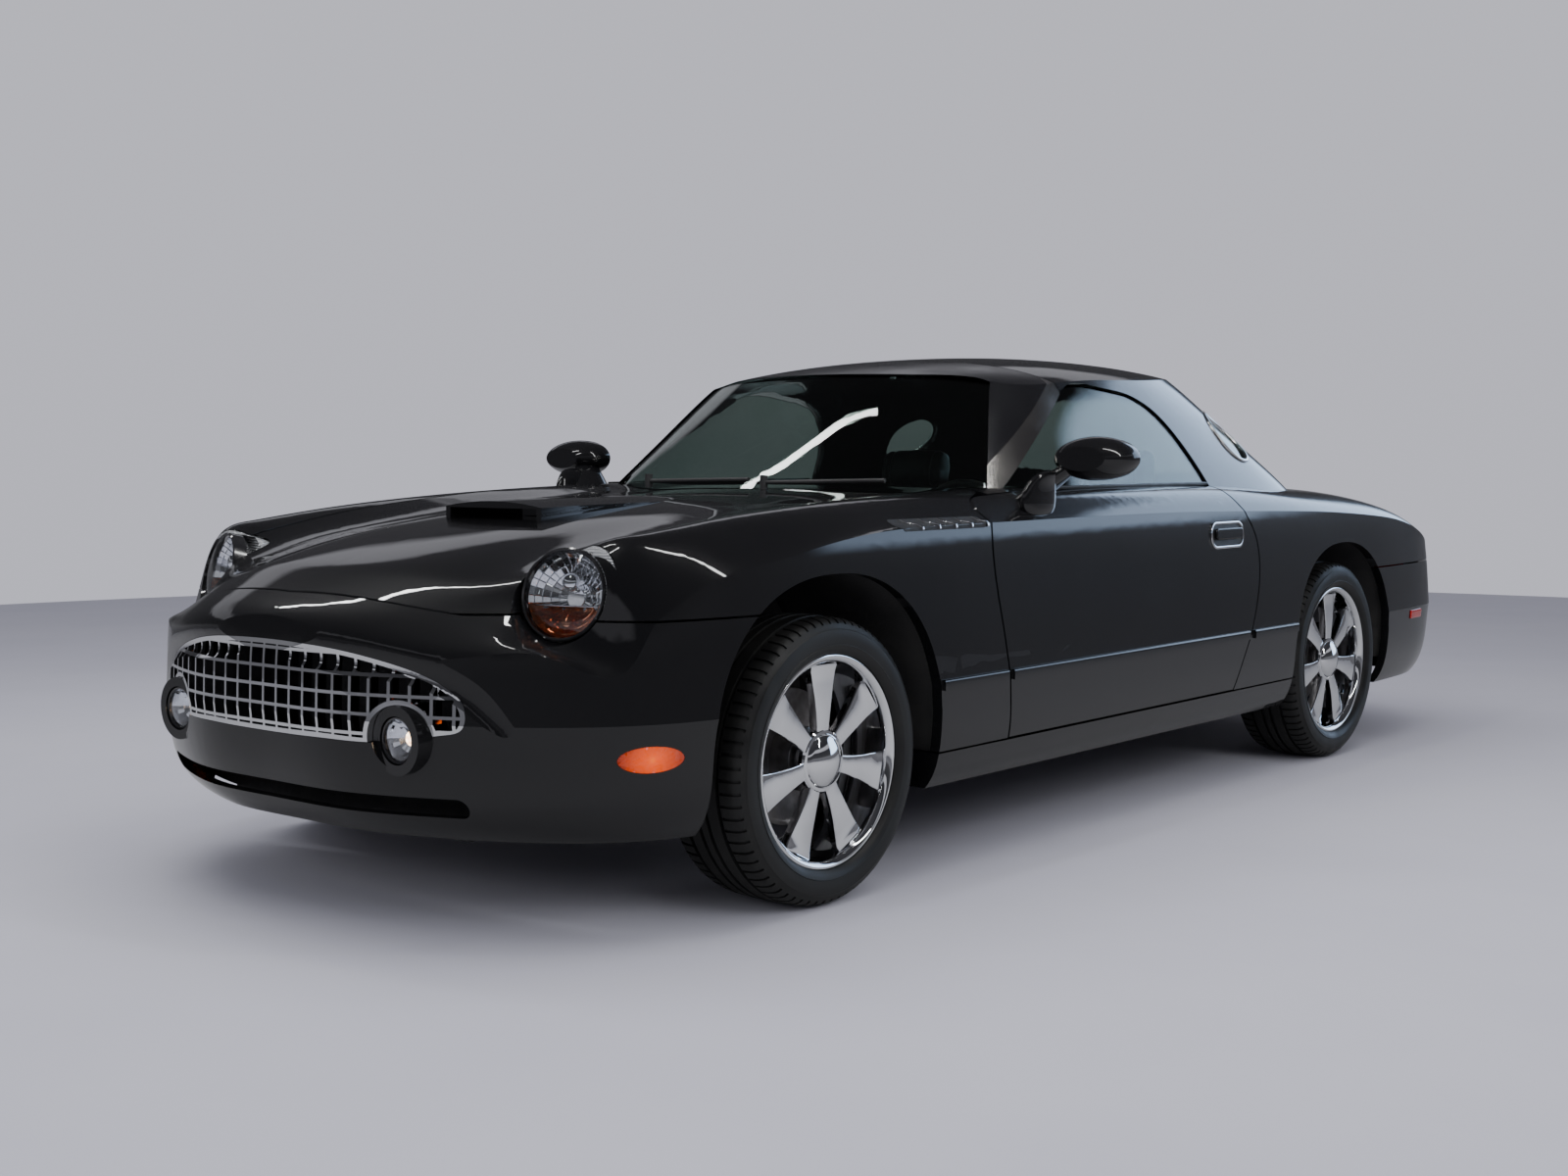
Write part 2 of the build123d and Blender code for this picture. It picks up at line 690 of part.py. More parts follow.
def make_front_bumper():
    seam = FRONT_SEAM_Z - GAP / 2
    with BuildPart() as bumper:
        add(BODY_SKIN)
        with BuildSketch(side_plane(0)):
            add(polygon([(-REACH, 0), (FRONT_AXLE, 0), (FRONT_AXLE, seam), (-2100, seam),
                         (-2100, 900), (-REACH, 900)]))
        extrude(amount=1000, mode=Mode.INTERSECT)
        with BuildSketch(side_plane(0)):
            add(arch_sketch(FRONT_AXLE, 0, FRONT_ARCH_B))
        extrude(amount=1000, mode=Mode.SUBTRACT)
        with BuildSketch(Plane.XY.offset(seam)):
            add(polygon([(HOOD_SIDE[0][0] - GAP, -REACH), (1000, -REACH), (1000, 0), (0, 0),
                         (0, -2100), (HOOD_SIDE[0][0] - GAP, -2100)]))
        extrude(amount=400, mode=Mode.SUBTRACT)
        with BuildSketch(Plane.XY.offset(HOOD_LOW_Z - GAP)):
            add(hood_outline(-GAP / 2))
        extrude(amount=400, mode=Mode.SUBTRACT)
        with BuildSketch(nose_plane(-1900)):
            add(grille_outline(0))
            with Locations((250, SLOT_Z)):
                SlotOverall(560, SLOT_H)
            with Locations(FOG_LAMP):
                Circle(FOG_POD_R - 10)
        extrude(amount=700, mode=Mode.SUBTRACT)
        with BuildSketch(nose_plane(-2240)):
            with Locations(FOG_LAMP):
                Circle(FOG_POD_R)
                Circle(FOG_POD_R - 22, mode=Mode.SUBTRACT)
        extrude(amount=82)
        add(lamp_hole(HEADLAMP_SEAT), mode=Mode.SUBTRACT)
        with BuildSketch(marker_plane()):
            Ellipse(SIDE_LAMP_L / 2 + 1, SIDE_LAMP_H / 2 + 1)
        extrude(amount=60, both=True, mode=Mode.SUBTRACT)
        mirror(about=Plane.YZ)
    return bumper.part


def grille_cells():
    """The open cells of the grille, clear of its frame and of the fog lamp."""
    with BuildSketch() as cells:
        with Locations((0, GRILLE_Z)):
            with GridLocations(GRILLE_PITCH_X, GRILLE_PITCH_Z, 26, 8):
                Rectangle(GRILLE_PITCH_X - GRILLE_BAR, GRILLE_PITCH_Z - GRILLE_BAR)
        add(grille_outline(GRILLE_BAR + 4), mode=Mode.INTERSECT)
        with Locations(FOG_LAMP):
            Circle(FOG_POD_R + GRILLE_BAR + 4, mode=Mode.SUBTRACT)
    return cells.sketch


def make_grille():
    """Egg-crate bars inside the oval frame, a little behind the bumper's face."""
    with BuildPart() as grille:
        with BuildSketch(nose_plane(-1950)):
            add(grille_outline(1))
        extrude(amount=600)
        add(BODY, mode=Mode.INTERSECT)
        add(body_walls(GRILLE_DEPTH), mode=Mode.SUBTRACT)
        with BuildSketch(nose_plane(-1900)):
            add(grille_cells())
        extrude(amount=700, mode=Mode.SUBTRACT)
        with BuildSketch(nose_plane(-1900)):
            with Locations(FOG_LAMP):
                Circle(FOG_POD_R + 1)
        extrude(amount=700, mode=Mode.SUBTRACT)
        mirror(about=Plane.YZ)
    return grille.part


def make_rear_quarter():
    low = REAR_SEAM_Z + GAP / 2
    with BuildPart() as quarter:
        add(BODY_SKIN)
        with BuildSketch(side_plane(0)):
            add(behind_door())
        extrude(amount=1000, mode=Mode.INTERSECT)
        with BuildSketch(side_plane(0)):
            add(arch_sketch(REAR_AXLE, 0, REAR_ARCH_B))
            add(polygon([(REAR_AXLE, 0), (REACH, 0), (REACH, low), (REAR_AXLE, low)]))
        extrude(amount=1000, mode=Mode.SUBTRACT)
        with BuildSketch(Plane.XY.offset(300)):
            add(polygon([(0, 0), (CABIN_HALF, 0), (CABIN_HALF, REAR_BULKHEAD_Y),
                         (DECK_HALF + GAP / 2, REAR_BULKHEAD_Y), (DECK_HALF + GAP / 2, REACH), (0, REACH)]))
        extrude(amount=800, mode=Mode.SUBTRACT)
        with BuildSketch(nose_plane(2100)):
            with Locations(TAIL_LAMP):
                Circle(TAIL_LAMP_R + 1)
        extrude(amount=-500, mode=Mode.SUBTRACT)
    return quarter.part


def make_rear_bumper():
    high = REAR_SEAM_Z - GAP / 2
    with BuildPart() as bumper:
        add(BODY_SKIN)
        with BuildSketch(side_plane(0)):
            add(polygon([(REAR_AXLE, 0), (REACH, 0), (REACH, high), (REAR_AXLE, high)]))
        extrude(amount=1000, mode=Mode.INTERSECT)
        with BuildSketch(side_plane(0)):
            add(arch_sketch(REAR_AXLE, 0, REAR_ARCH_B))
        extrude(amount=1000, mode=Mode.SUBTRACT)
        with BuildSketch(nose_plane(2100)):
            with Locations(TAIL_LAMP):
                Circle(TAIL_LAMP_R + 1)
        extrude(amount=-500, mode=Mode.SUBTRACT)
        mirror(about=Plane.YZ)
    return bumper.part


def make_decklid():
    with BuildPart() as lid:
        add(BODY_SKIN)
        with BuildSketch(side_plane(0)):
            add(polygon([(DECKLID_FRONT_Y + GAP / 2, REAR_SEAM_Z + GAP / 2), (REACH, REAR_SEAM_Z + GAP / 2),
                         (REACH, 1100), (DECKLID_FRONT_Y + GAP / 2, 1100)]))
        extrude(amount=DECK_HALF - GAP / 2, mode=Mode.INTERSECT)
        with BuildSketch(nose_plane(2100)):
            with Locations(TAIL_LAMP):
                Circle(TAIL_LAMP_R + GAP)
        extrude(amount=-500, mode=Mode.SUBTRACT)
        mirror(about=Plane.YZ)
    return lid.part


def make_rear_deck():
    with BuildPart() as deck:
        add(BODY_SKIN)
        with BuildSketch(side_plane(0)):
            add(polygon([(REAR_BULKHEAD_Y, 700), (DECKLID_FRONT_Y - GAP / 2, 700),
                         (DECKLID_FRONT_Y - GAP / 2, 1100), (REAR_BULKHEAD_Y, 1100)]))
        extrude(amount=DECK_HALF - GAP / 2, mode=Mode.INTERSECT)
        mirror(about=Plane.YZ)
    return deck.part


def make_cowl():
    """The panel between the hood and the windscreen, with the bulkhead below it."""
    with BuildPart() as cowl:
        add(BODY_SKIN)
        with BuildSketch(Plane.XY.offset(600)):
            add(polygon([(0, HOOD_REAR[-1][1] - 10), (HOOD_SIDE[-1][0], HOOD_REAR[-1][1] - 10),
                         (HOOD_SIDE[-1][0], COWL_FRONT_Y + GAP / 2),
                         (COWL_HALF - GAP, COWL_FRONT_Y + GAP / 2), (COWL_HALF - GAP, SCREEN_BASE_Y),
                         (0, SCREEN_BASE_Y)]))
            add(hood_outline(-GAP / 2), mode=Mode.SUBTRACT)
        extrude(amount=500, mode=Mode.INTERSECT)
        mirror(about=Plane.YZ)
    return cowl.part


def make_sills():
    with BuildPart() as sills:
        add(BODY)
        with BuildSketch(side_plane(0)):
            add(polygon([(FRONT_AXLE, 0), (REAR_AXLE, 0), (REAR_AXLE, SILL_SEAM_Z - GAP / 2),
                         (FRONT_AXLE, SILL_SEAM_Z - GAP / 2)]))
            add(arch_sketch(FRONT_AXLE, 0, FRONT_ARCH_B), mode=Mode.SUBTRACT)
            add(arch_sketch(REAR_AXLE, 0, REAR_ARCH_B), mode=Mode.SUBTRACT)
        extrude(amount=1000, mode=Mode.INTERSECT)
        with BuildSketch(Plane.XY):
            add(polygon([(0, -REACH), (SILL_X, -REACH), (SILL_X, REACH), (0, REACH)]))
        extrude(amount=800, mode=Mode.SUBTRACT)
        mirror(about=Plane.YZ)
    return sills.part


# ---------------------------------------------------------------- glasshouse
def make_windscreen_frame():
    """The header and both pillars, outside the windscreen and ahead of the door glass."""
    with BuildPart() as frame:
        add(ROOF_SKIN)
        with BuildSketch(side_plane(0)):
            add(polygon(FRAME_SIDE))
            add(window_outline(-SEAL / 2), mode=Mode.SUBTRACT)
        extrude(amount=1000, mode=Mode.INTERSECT)
        with BuildSketch(nose_plane(0)):
            add(screen_outline(0))
        extrude(amount=900, mode=Mode.SUBTRACT)
        add(BODY, mode=Mode.SUBTRACT)
        mirror(about=Plane.YZ)
    return frame.part


def screen_outline(margin):
    """Half of the windscreen from ahead, moved inwards by a margin."""
    with BuildSketch() as outline:
        with BuildLine():
            Spline([(0, SCREEN_TOP_Z - margin), (280, SCREEN_TOP_Z - 6 - margin),
                    (SCREEN_TOP_X - margin, SCREEN_TOP_Z - 30 - margin)], tangents=[(1, 0), (1, -0.4)])
            Line((SCREEN_TOP_X - margin, SCREEN_TOP_Z - 30 - margin), (SCREEN_LOW_X - margin, 890))
            Polyline((SCREEN_LOW_X - margin, 890), (0, 890), (0, SCREEN_TOP_Z - margin))
        make_face()
    return outline.sketch


def make_windscreen():
    with BuildPart() as glass:
        add(PANES)
        with BuildSketch(nose_plane(0)):
            add(screen_outline(1))
        extrude(amount=900, mode=Mode.INTERSECT)
        add(BODY, mode=Mode.SUBTRACT)
        mirror(about=Plane.YZ)
    return glass.part


def rear_window_outline(margin):
    """Half of the rear window from behind, moved inwards by a margin."""
    points = [(0, REAR_WINDOW_TOP - margin), (200, REAR_WINDOW_TOP - 6 - margin),
              (340 - margin, REAR_WINDOW_TOP - 50), (440 - margin, 1060), (452 - margin, 990),
              (380, 962 + margin), (200, 952 + margin), (0, 950 + margin)]
    with BuildSketch() as outline:
        with BuildLine():
            Spline(points, tangents=[(1, 0), (-1, 0)])
            Line(points[-1], points[0])
        make_face()
    return outline.sketch


def porthole_plane():
    lean = radians(PORTHOLE_LEAN)
    return Plane(origin=PORTHOLE, x_dir=(0, 1, 0), z_dir=(cos(lean), 0, sin(lean)))


def make_hardtop():
    with BuildPart() as top:
        add(ROOF_SKIN)
        with BuildSketch(side_plane(0)):
            add(polygon(TOP_SIDE))
            add(window_outline(-SEAL), mode=Mode.SUBTRACT)
        extrude(amount=1000, mode=Mode.INTERSECT)
        with BuildSketch(nose_plane(600)):
            add(rear_window_outline(0))
        extrude(amount=-1200, mode=Mode.SUBTRACT)
        with BuildSketch(porthole_plane()):
            Circle(PORTHOLE_R)
        extrude(amount=150, both=True, mode=Mode.SUBTRACT)
        add(BODY, mode=Mode.SUBTRACT)
        mirror(about=Plane.YZ)
    return top.part


def make_hardtop_glass():
    """The rear window and both round side windows."""
    with BuildPart() as glass:
        add(PANES)
        with BuildSketch(nose_plane(600)):
            add(rear_window_outline(1))
        extrude(amount=-1200, mode=Mode.INTERSECT)
        mirror(about=Plane.YZ)
    with BuildPart() as port:
        add(PANES)
        with BuildSketch(porthole_plane()):
            Circle(PORTHOLE_R - 1)
        extrude(amount=150, both=True, mode=Mode.INTERSECT)
        mirror(about=Plane.YZ)
    return Compound(children=[glass.part, port.part])


# ---------------------------------------------------------------- lamps
def make_headlamps():
    """A domed round lens in its ring, and the ribbed lens that sweeps back over the fender."""
    place = lamp_plane()
    dome_r = (HEADLAMP_R ** 2 + HEADLAMP_DOME ** 2) / (2 * HEADLAMP_DOME)
    with BuildPart() as lamps:
        with BuildSketch(place.offset(-HEADLAMP_DEPTH)):
            Circle(HEADLAMP_R)
        extrude(amount=HEADLAMP_DEPTH + HEADLAMP_DOME)
        with Locations(place.offset(HEADLAMP_DOME - dome_r).location):
            Sphere(dome_r, mode=Mode.INTERSECT)
        swept = extrude(lamp_sweep(0), amount=-SWEEP_L, mode=Mode.PRIVATE)
        add((swept - lamp_hole(1)).intersect(BODY) - LAMP_INSIDE)
        mirror(about=Plane.YZ)
    return lamps.part


def make_bumper_lamps():
    """Round fog lamps in their pods and the amber lamps at the corners."""
    with BuildPart() as lamps:
        with BuildSketch(marker_plane()):
            Ellipse(SIDE_LAMP_L / 2, SIDE_LAMP_H / 2)
        extrude(amount=60, both=True)
        add(BODY, mode=Mode.INTERSECT)
        add(body_walls(16), mode=Mode.SUBTRACT)
        with BuildSketch(nose_plane(-2262)):
            with Locations(FOG_LAMP):
                Circle(FOG_POD_R - 23)
        extrude(amount=52)
        mirror(about=Plane.YZ)
    return lamps.part


def make_tail_lamps():
    with BuildPart() as lamps:
        with BuildSketch(nose_plane(2100)):
            with Locations(TAIL_LAMP):
                Circle(TAIL_LAMP_R)
        extrude(amount=-500)
        add(BODY, mode=Mode.INTERSECT)
        add(LAMP_INSIDE, mode=Mode.SUBTRACT)
        mirror(about=Plane.YZ)
    return lamps.part


# ---------------------------------------------------------------- underbody
def wheelhouse(axle, height, inner_x):
    """The arched liner over one left wheel, open to the side and below."""
    outer_x = HALF_W - 8
    with BuildPart() as house:
        with BuildSketch(side_plane(inner_x)):
            add(arch_sketch(axle, 14 + LINER, height))
        extrude(amount=outer_x - inner_x)
        with BuildSketch(side_plane(inner_x + LINER)):
            add(arch_sketch(axle, 14, height))
        extrude(amount=outer_x - inner_x, mode=Mode.SUBTRACT)
        Box(4000, 8000, 2 * SILL_SEAM_Z, mode=Mode.SUBTRACT)
        with Locations((inner_x, axle, 0)):
            Box(60, 2 * ARM_OPENING, 2 * ARM_OPENING_Z, mode=Mode.SUBTRACT)
        add(BODY_INSIDE, mode=Mode.INTERSECT)
    return house.part


def make_floor():
    """The cabin floor and the tunnel over the exhaust."""
    length = REAR_BULKHEAD_Y - FIREWALL_Y
    with BuildPart() as floor:
        with BuildSketch(Plane.XY.offset(FLOOR_Z)):
            with Locations((0, (FIREWALL_Y + REAR_BULKHEAD_Y) / 2)):
                Rectangle(2 * SILL_X, length)
        extrude(amount=FLOOR_WALL)
        with BuildSketch(nose_plane(FIREWALL_Y)):
            with Locations((0, FLOOR_Z)):
                Trapezoid(2 * TUNNEL_HALF, TUNNEL_H, TUNNEL_ANGLE, align=(Align.CENTER, Align.MIN))
        extrude(amount=-length)
        with BuildSketch(nose_plane(FIREWALL_Y)):
            with Locations((0, FLOOR_Z)):
                Trapezoid(2 * (TUNNEL_HALF - FLOOR_WALL), TUNNEL_H - FLOOR_WALL, TUNNEL_ANGLE,
                          align=(Align.CENTER, Align.MIN))
        extrude(amount=-length, mode=Mode.SUBTRACT)
        add(BODY_INSIDE_BOTH, mode=Mode.INTERSECT)
    return floor.part


def make_bulkheads():
    """The firewall with the door posts, and the bulkhead behind the seats."""
    base = FLOOR_Z + FLOOR_WALL
    with BuildPart() as walls:
        with BuildSketch(Plane.XY.offset(base)):
            for y in (FIREWALL_Y, REAR_BULKHEAD_Y):
                with Locations((0, y)):
                    Rectangle(2 * SILL_X, FLOOR_WALL)
            for side in (-1, 1):
                with Locations((side * (SILL_X - POST_INSET - POST_W / 2), FIREWALL_Y + POST_L / 2)):
                    Rectangle(POST_W, POST_L)
        extrude(amount=BULKHEAD_TOP_Z - base)
        with BuildSketch(nose_plane(FIREWALL_Y + POST_L)):
            with Locations((0, FLOOR_Z)):
                Trapezoid(2 * TUNNEL_HALF, TUNNEL_H, TUNNEL_ANGLE, align=(Align.CENTER, Align.MIN))
        extrude(amount=REACH, both=True, mode=Mode.SUBTRACT)
        add(BODY_INSIDE_BOTH, mode=Mode.INTERSECT)
    return walls.part


def make_trunk_floor():
    front = REAR_BULKHEAD_Y + FLOOR_WALL / 2
    with BuildPart() as trunk:
        with BuildSketch(Plane.XY.offset(TRUNK_Z)):
            with Locations((0, (front + TRUNK_END_Y) / 2)):
                Rectangle(2 * REAR_WELL_X, TRUNK_END_Y - front)
        extrude(amount=FLOOR_WALL)
        add(BODY_INSIDE_BOTH, mode=Mode.INTERSECT)
    return trunk.part


def make_wheelhouses():
    """The four arched liners; the front ones reach back to the firewall."""
    back = FIREWALL_Y - FLOOR_WALL / 2
    start = FRONT_AXLE + APRON_START
    with BuildPart() as houses:
        add(wheelhouse(FRONT_AXLE, FRONT_ARCH_B, FRONT_WELL_X))
        with Locations((FRONT_WELL_X, start, APRON_LOW_Z)):
            Box(LINER, back - start, APRON_H, align=Align.MIN)
        add(wheelhouse(REAR_AXLE, REAR_ARCH_B, REAR_WELL_X))
        mirror(about=Plane.YZ)
    return houses.part


def make_engine():
    with BuildPart() as engine:
        with Locations((0, (ENGINE_FRONT_Y + ENGINE_BACK_Y) / 2, ENGINE_LOW_Z)):
            Box(ENGINE_W, ENGINE_BACK_Y - ENGINE_FRONT_Y, ENGINE_H, align=(Align.CENTER, Align.CENTER, Align.MIN))
        chamfer(engine.edges().filter_by(Axis.Y).group_by(Axis.Z)[0], 90)
    return engine.part


def make_front_subframe():
    """Two rails, three crossmembers, lower arms, the radiator and the engine's mounts."""
    with BuildPart() as frame:
        for side in (-1, 1):
            with Locations((side * RAIL_X, (RAIL_FRONT_Y + RAIL_END_Y) / 2, RAIL_Z)):
                Box(70, RAIL_END_Y - RAIL_FRONT_Y, 90, align=(Align.CENTER, Align.CENTER, Align.MIN))
            with BuildSketch(Plane.XY.offset(ARM_Z)):
                add(polygon([(side * RAIL_X, FRONT_AXLE - 190), (side * KINGPIN_X, FRONT_AXLE - 30),
                             (side * KINGPIN_X, FRONT_AXLE + 30), (side * RAIL_X, FRONT_AXLE + 190)]))
            extrude(amount=28)
            with Locations((side * KINGPIN_X, FRONT_AXLE, ARM_Z)):
                Cylinder(24, 40, align=(Align.CENTER, Align.CENTER, Align.MIN))
        for y in (RAIL_FRONT_Y + 40, FRONT_AXLE, RAIL_END_Y - 50):
            with Locations((0, y, ARM_Z)):
                Box(2 * RAIL_X + 70, 80, RAIL_Z - ARM_Z + 20, align=(Align.CENTER, Align.CENTER, Align.MIN))
        with Locations((0, RAIL_FRONT_Y + 40, RAIL_Z)):
            Box(2 * RAIL_X - 70, 60, 330, align=(Align.CENTER, Align.CENTER, Align.MIN))
    return frame.part


def make_knuckle():
    """The left upright on its kingpin, with the caliper and the stub axle."""
    with BuildPart() as knuckle:
        with Locations((KINGPIN_X, FRONT_AXLE, ARM_Z + 46)):
            Box(40, 70, 250, align=(Align.CENTER, Align.CENTER, Align.MIN))
        with BuildSketch(side_plane(KINGPIN_X)):
            with Locations((FRONT_AXLE, TYRE_R)):
                Circle(STUB_R)
        extrude(amount=STUB_END_X - KINGPIN_X)
        with BuildSketch(Plane(origin=(CALIPER_X, FRONT_AXLE, TYRE_R), x_dir=(0, 1, 0), z_dir=(1, 0, 0))):
            with BuildLine():
                inner = CenterArc((0, 0), DISC_R - 55, -40, 80)
                outer = CenterArc((0, 0), DISC_R + 30, -40, 80)
                Line(inner @ 0, outer @ 0)
                Line(inner @ 1, outer @ 1)
            make_face()
        extrude(amount=CALIPER_W)
        with Locations(((KINGPIN_X + CALIPER_X) / 2, FRONT_AXLE + 70, TYRE_R)):
            Box(CALIPER_X - KINGPIN_X + 20, 110, 60)
    return knuckle.part


def make_rear_subframe():
    """The differential, halfshafts, lower arms, hub carriers and two crossmembers."""
    with BuildPart() as frame:
        with Locations((0, REAR_AXLE, TYRE_R)):
            Box(260, 260, 190)
            Cylinder(28, 2 * KINGPIN_X, rotation=(0, 90, 0))
        for side in (-1, 1):
            with Locations((side * KINGPIN_X, REAR_AXLE, TYRE_R)):
                Box(40, 90, 240)
                Cylinder(STUB_R, 2 * (STUB_END_X - KINGPIN_X), rotation=(0, 90, 0))
            with BuildSketch(Plane.XY.offset(ARM_Z)):
                add(polygon([(side * 260, REAR_AXLE - 200), (side * KINGPIN_X, REAR_AXLE - 40),
                             (side * KINGPIN_X, REAR_AXLE + 40), (side * 260, REAR_AXLE + 200)]))
            extrude(amount=30)
        for y in (REAR_AXLE - 200, REAR_AXLE + 200):
            with Locations((0, y, ARM_Z)):
                Box(900, 70, TRUNK_Z - ARM_Z, align=(Align.CENTER, Align.CENTER, Align.MIN))
        with Locations((0, REAR_AXLE, ARM_Z)):
            Box(120, 400, 60, align=(Align.CENTER, Align.CENTER, Align.MIN))
    return frame.part


def make_exhaust():
    """A pipe under the tunnel, a muffler across the tail and two tips."""
    with BuildPart() as exhaust:
        with BuildLine():
            path = FilletPolyline((0, FIREWALL_Y + 20, EXHAUST_Z), (0, 950, EXHAUST_Z), (-180, 1100, EXHAUST_Z),
                                  (-180, 1900, EXHAUST_Z), radius=80)
        with BuildSketch(Plane(origin=path @ 0, z_dir=path % 0)):
            Circle(EXHAUST_R)
        sweep()
        with Locations((0, MUFFLER_Y, EXHAUST_Z + 20)):
            Box(900, 220, 110)
        for side in (-1, 1):
            with BuildSketch(nose_plane(MUFFLER_Y)):
                with Locations((side * EXHAUST_TIP_X, EXHAUST_Z)):
                    Circle(EXHAUST_TIP_R)
            extrude(amount=-(EXHAUST_END_Y - MUFFLER_Y))
            with BuildSketch(nose_plane(EXHAUST_END_Y)):
                with Locations((side * EXHAUST_TIP_X, EXHAUST_Z)):
                    Circle(EXHAUST_TIP_R - 3)
            extrude(amount=120, mode=Mode.SUBTRACT)
    return exhaust.part


# ---------------------------------------------------------------- cabin
def make_seat():
    """The left seat: cushion, back and head restraint as one plain solid."""
    with BuildPart() as seat:
        with BuildSketch(side_plane(SEAT_X - SEAT_W / 2)):
            with BuildLine():
                Polyline((-90, 238), (-110, 400), (-60, 430), (360, 395), (520, 800), (575, 935), (560, 1020),
                         (620, 1050), (668, 1010), (650, 900), (560, 300), (480, 238), close=True)
            make_face()
        extrude(amount=SEAT_W)
        fillet(seat.edges().filter_by(Axis.X), 18)
        with BuildSketch(nose_plane(900)):
            with Locations((SEAT_X - 190, 960), (SEAT_X + 190, 960)):
                Rectangle(160, 200)
        extrude(amount=1400, mode=Mode.SUBTRACT)
    return seat.part


def make_dashboard():
    with BuildPart() as dash:
        with BuildSketch(side_plane(-DASH_HALF)):
            with BuildLine():
                Polyline((-640, 560), (-640, 800), (-560, 862), (-430, 868), (-330, 820), (-300, 740),
                         (-360, 600), (-420, 560), close=True)
            make_face()
        extrude(amount=2 * DASH_HALF)
        fillet(dash.edges().filter_by(Axis.X).group_by(Axis.Z)[-2:], 30)
    return dash.part


def make_console():
    with BuildPart() as console:
        with BuildSketch(side_plane(-CONSOLE_HALF)):
            with BuildLine():
                Polyline((-600, 440), (-600, 552), (-310, 552), (-230, 500), (250, 500), (470, 520),
                         (470, 440), close=True)
            make_face()
        extrude(amount=2 * CONSOLE_HALF)
    return console.part


def steering_plane():
    """The plane of the steering wheel's rim, facing the driver."""
    lean = radians(COLUMN_TILT)
    return Plane(origin=STEERING_CENTRE, x_dir=(1, 0, 0), z_dir=(0, cos(lean), sin(lean)))


def make_steering_wheel():
    plane = steering_plane()
    with BuildPart() as wheel:
        with BuildSketch(Plane(origin=plane.origin, x_dir=plane.z_dir, z_dir=plane.y_dir)):
            with Locations((0, STEERING_R)):
                Circle(14)
        revolve(axis=Axis(plane.origin, plane.z_dir), revolution_arc=360)
        with BuildSketch(plane):
            Circle(62)
            Rectangle(2 * STEERING_R - 10, 30)
            with Locations((0, -STEERING_R / 2)):
                Rectangle(34, STEERING_R - 10)
        extrude(amount=-16)
    return wheel.part


def make_steering_column():
    plane = steering_plane()
    with BuildPart() as column:
        with BuildSketch(plane.offset(-30)):
            Circle(30)
        extrude(amount=-220)
        add(make_dashboard(), mode=Mode.SUBTRACT)
    return column.part


def make_wipers():
    with BuildPart() as wipers:
        for pivot, tip in WIPERS:
            with BuildLine():
                path = Line(pivot, tip)
            with BuildSketch(Plane(origin=path @ 0, z_dir=path % 0)):
                Circle(WIPER_R)
            sweep()
            with Locations(pivot):
                Cylinder(PIVOT_R, PIVOT_H)
        lifted = BODY.moved(Location((0, 0, WIPER_LIFT)))
        add(lifted, mode=Mode.SUBTRACT)
        add(mirror(lifted, about=Plane.YZ, mode=Mode.PRIVATE), mode=Mode.SUBTRACT)
    return wipers.part


# ---------------------------------------------------------------- wheels
def make_tyre(side, axle):
    half = TYRE_W / 2
    with BuildPart() as tyre:
        with BuildSketch(Plane.XY):
            with BuildLine():
                crown = ThreePointArc((-half + SHOULDER, TYRE_R - 4), (0, TYRE_R), (half - SHOULDER, TYRE_R - 4))
                outer = ThreePointArc((RIM_W / 2, RIM_R), (half, RIM_R + 40), (half - 9, TYRE_R - 18))
                inner = ThreePointArc((-RIM_W / 2, RIM_R), (-half, RIM_R + 40), (-half + 9, TYRE_R - 18))
                Line(crown @ 1, outer @ 1)
                Line(crown @ 0, inner @ 1)
                Line(outer @ 0, inner @ 0)
            make_face()
            with Locations((0, TYRE_R)):
                with GridLocations(GROOVE_PITCH, 1, 4, 1):
                    Rectangle(GROOVE_W, 2 * GROOVE_DEPTH, mode=Mode.SUBTRACT)
        revolve(axis=Axis.X)
    return tyre.part.moved(Location((side * WHEEL_X, axle, TYRE_R)))


def wheel_window():
    """One opening between two flared spokes, seen from the side of the car."""
    inner = HUB_R + WINDOW_INSET
    outer = BARREL_R - WINDOW_RIM
    with BuildSketch() as window:
        with BuildLine():
            Line((inner, -WINDOW_NARROW), (outer - 12, -WINDOW_WIDE))
            ThreePointArc((outer - 12, -WINDOW_WIDE), (outer, 0), (outer - 12, WINDOW_WIDE))
            Line((outer - 12, WINDOW_WIDE), (inner, WINDOW_NARROW))
            Line((inner, WINDOW_NARROW), (inner, -WINDOW_NARROW))
        make_face()
        fillet(window.vertices(), 5)
    return window.sketch


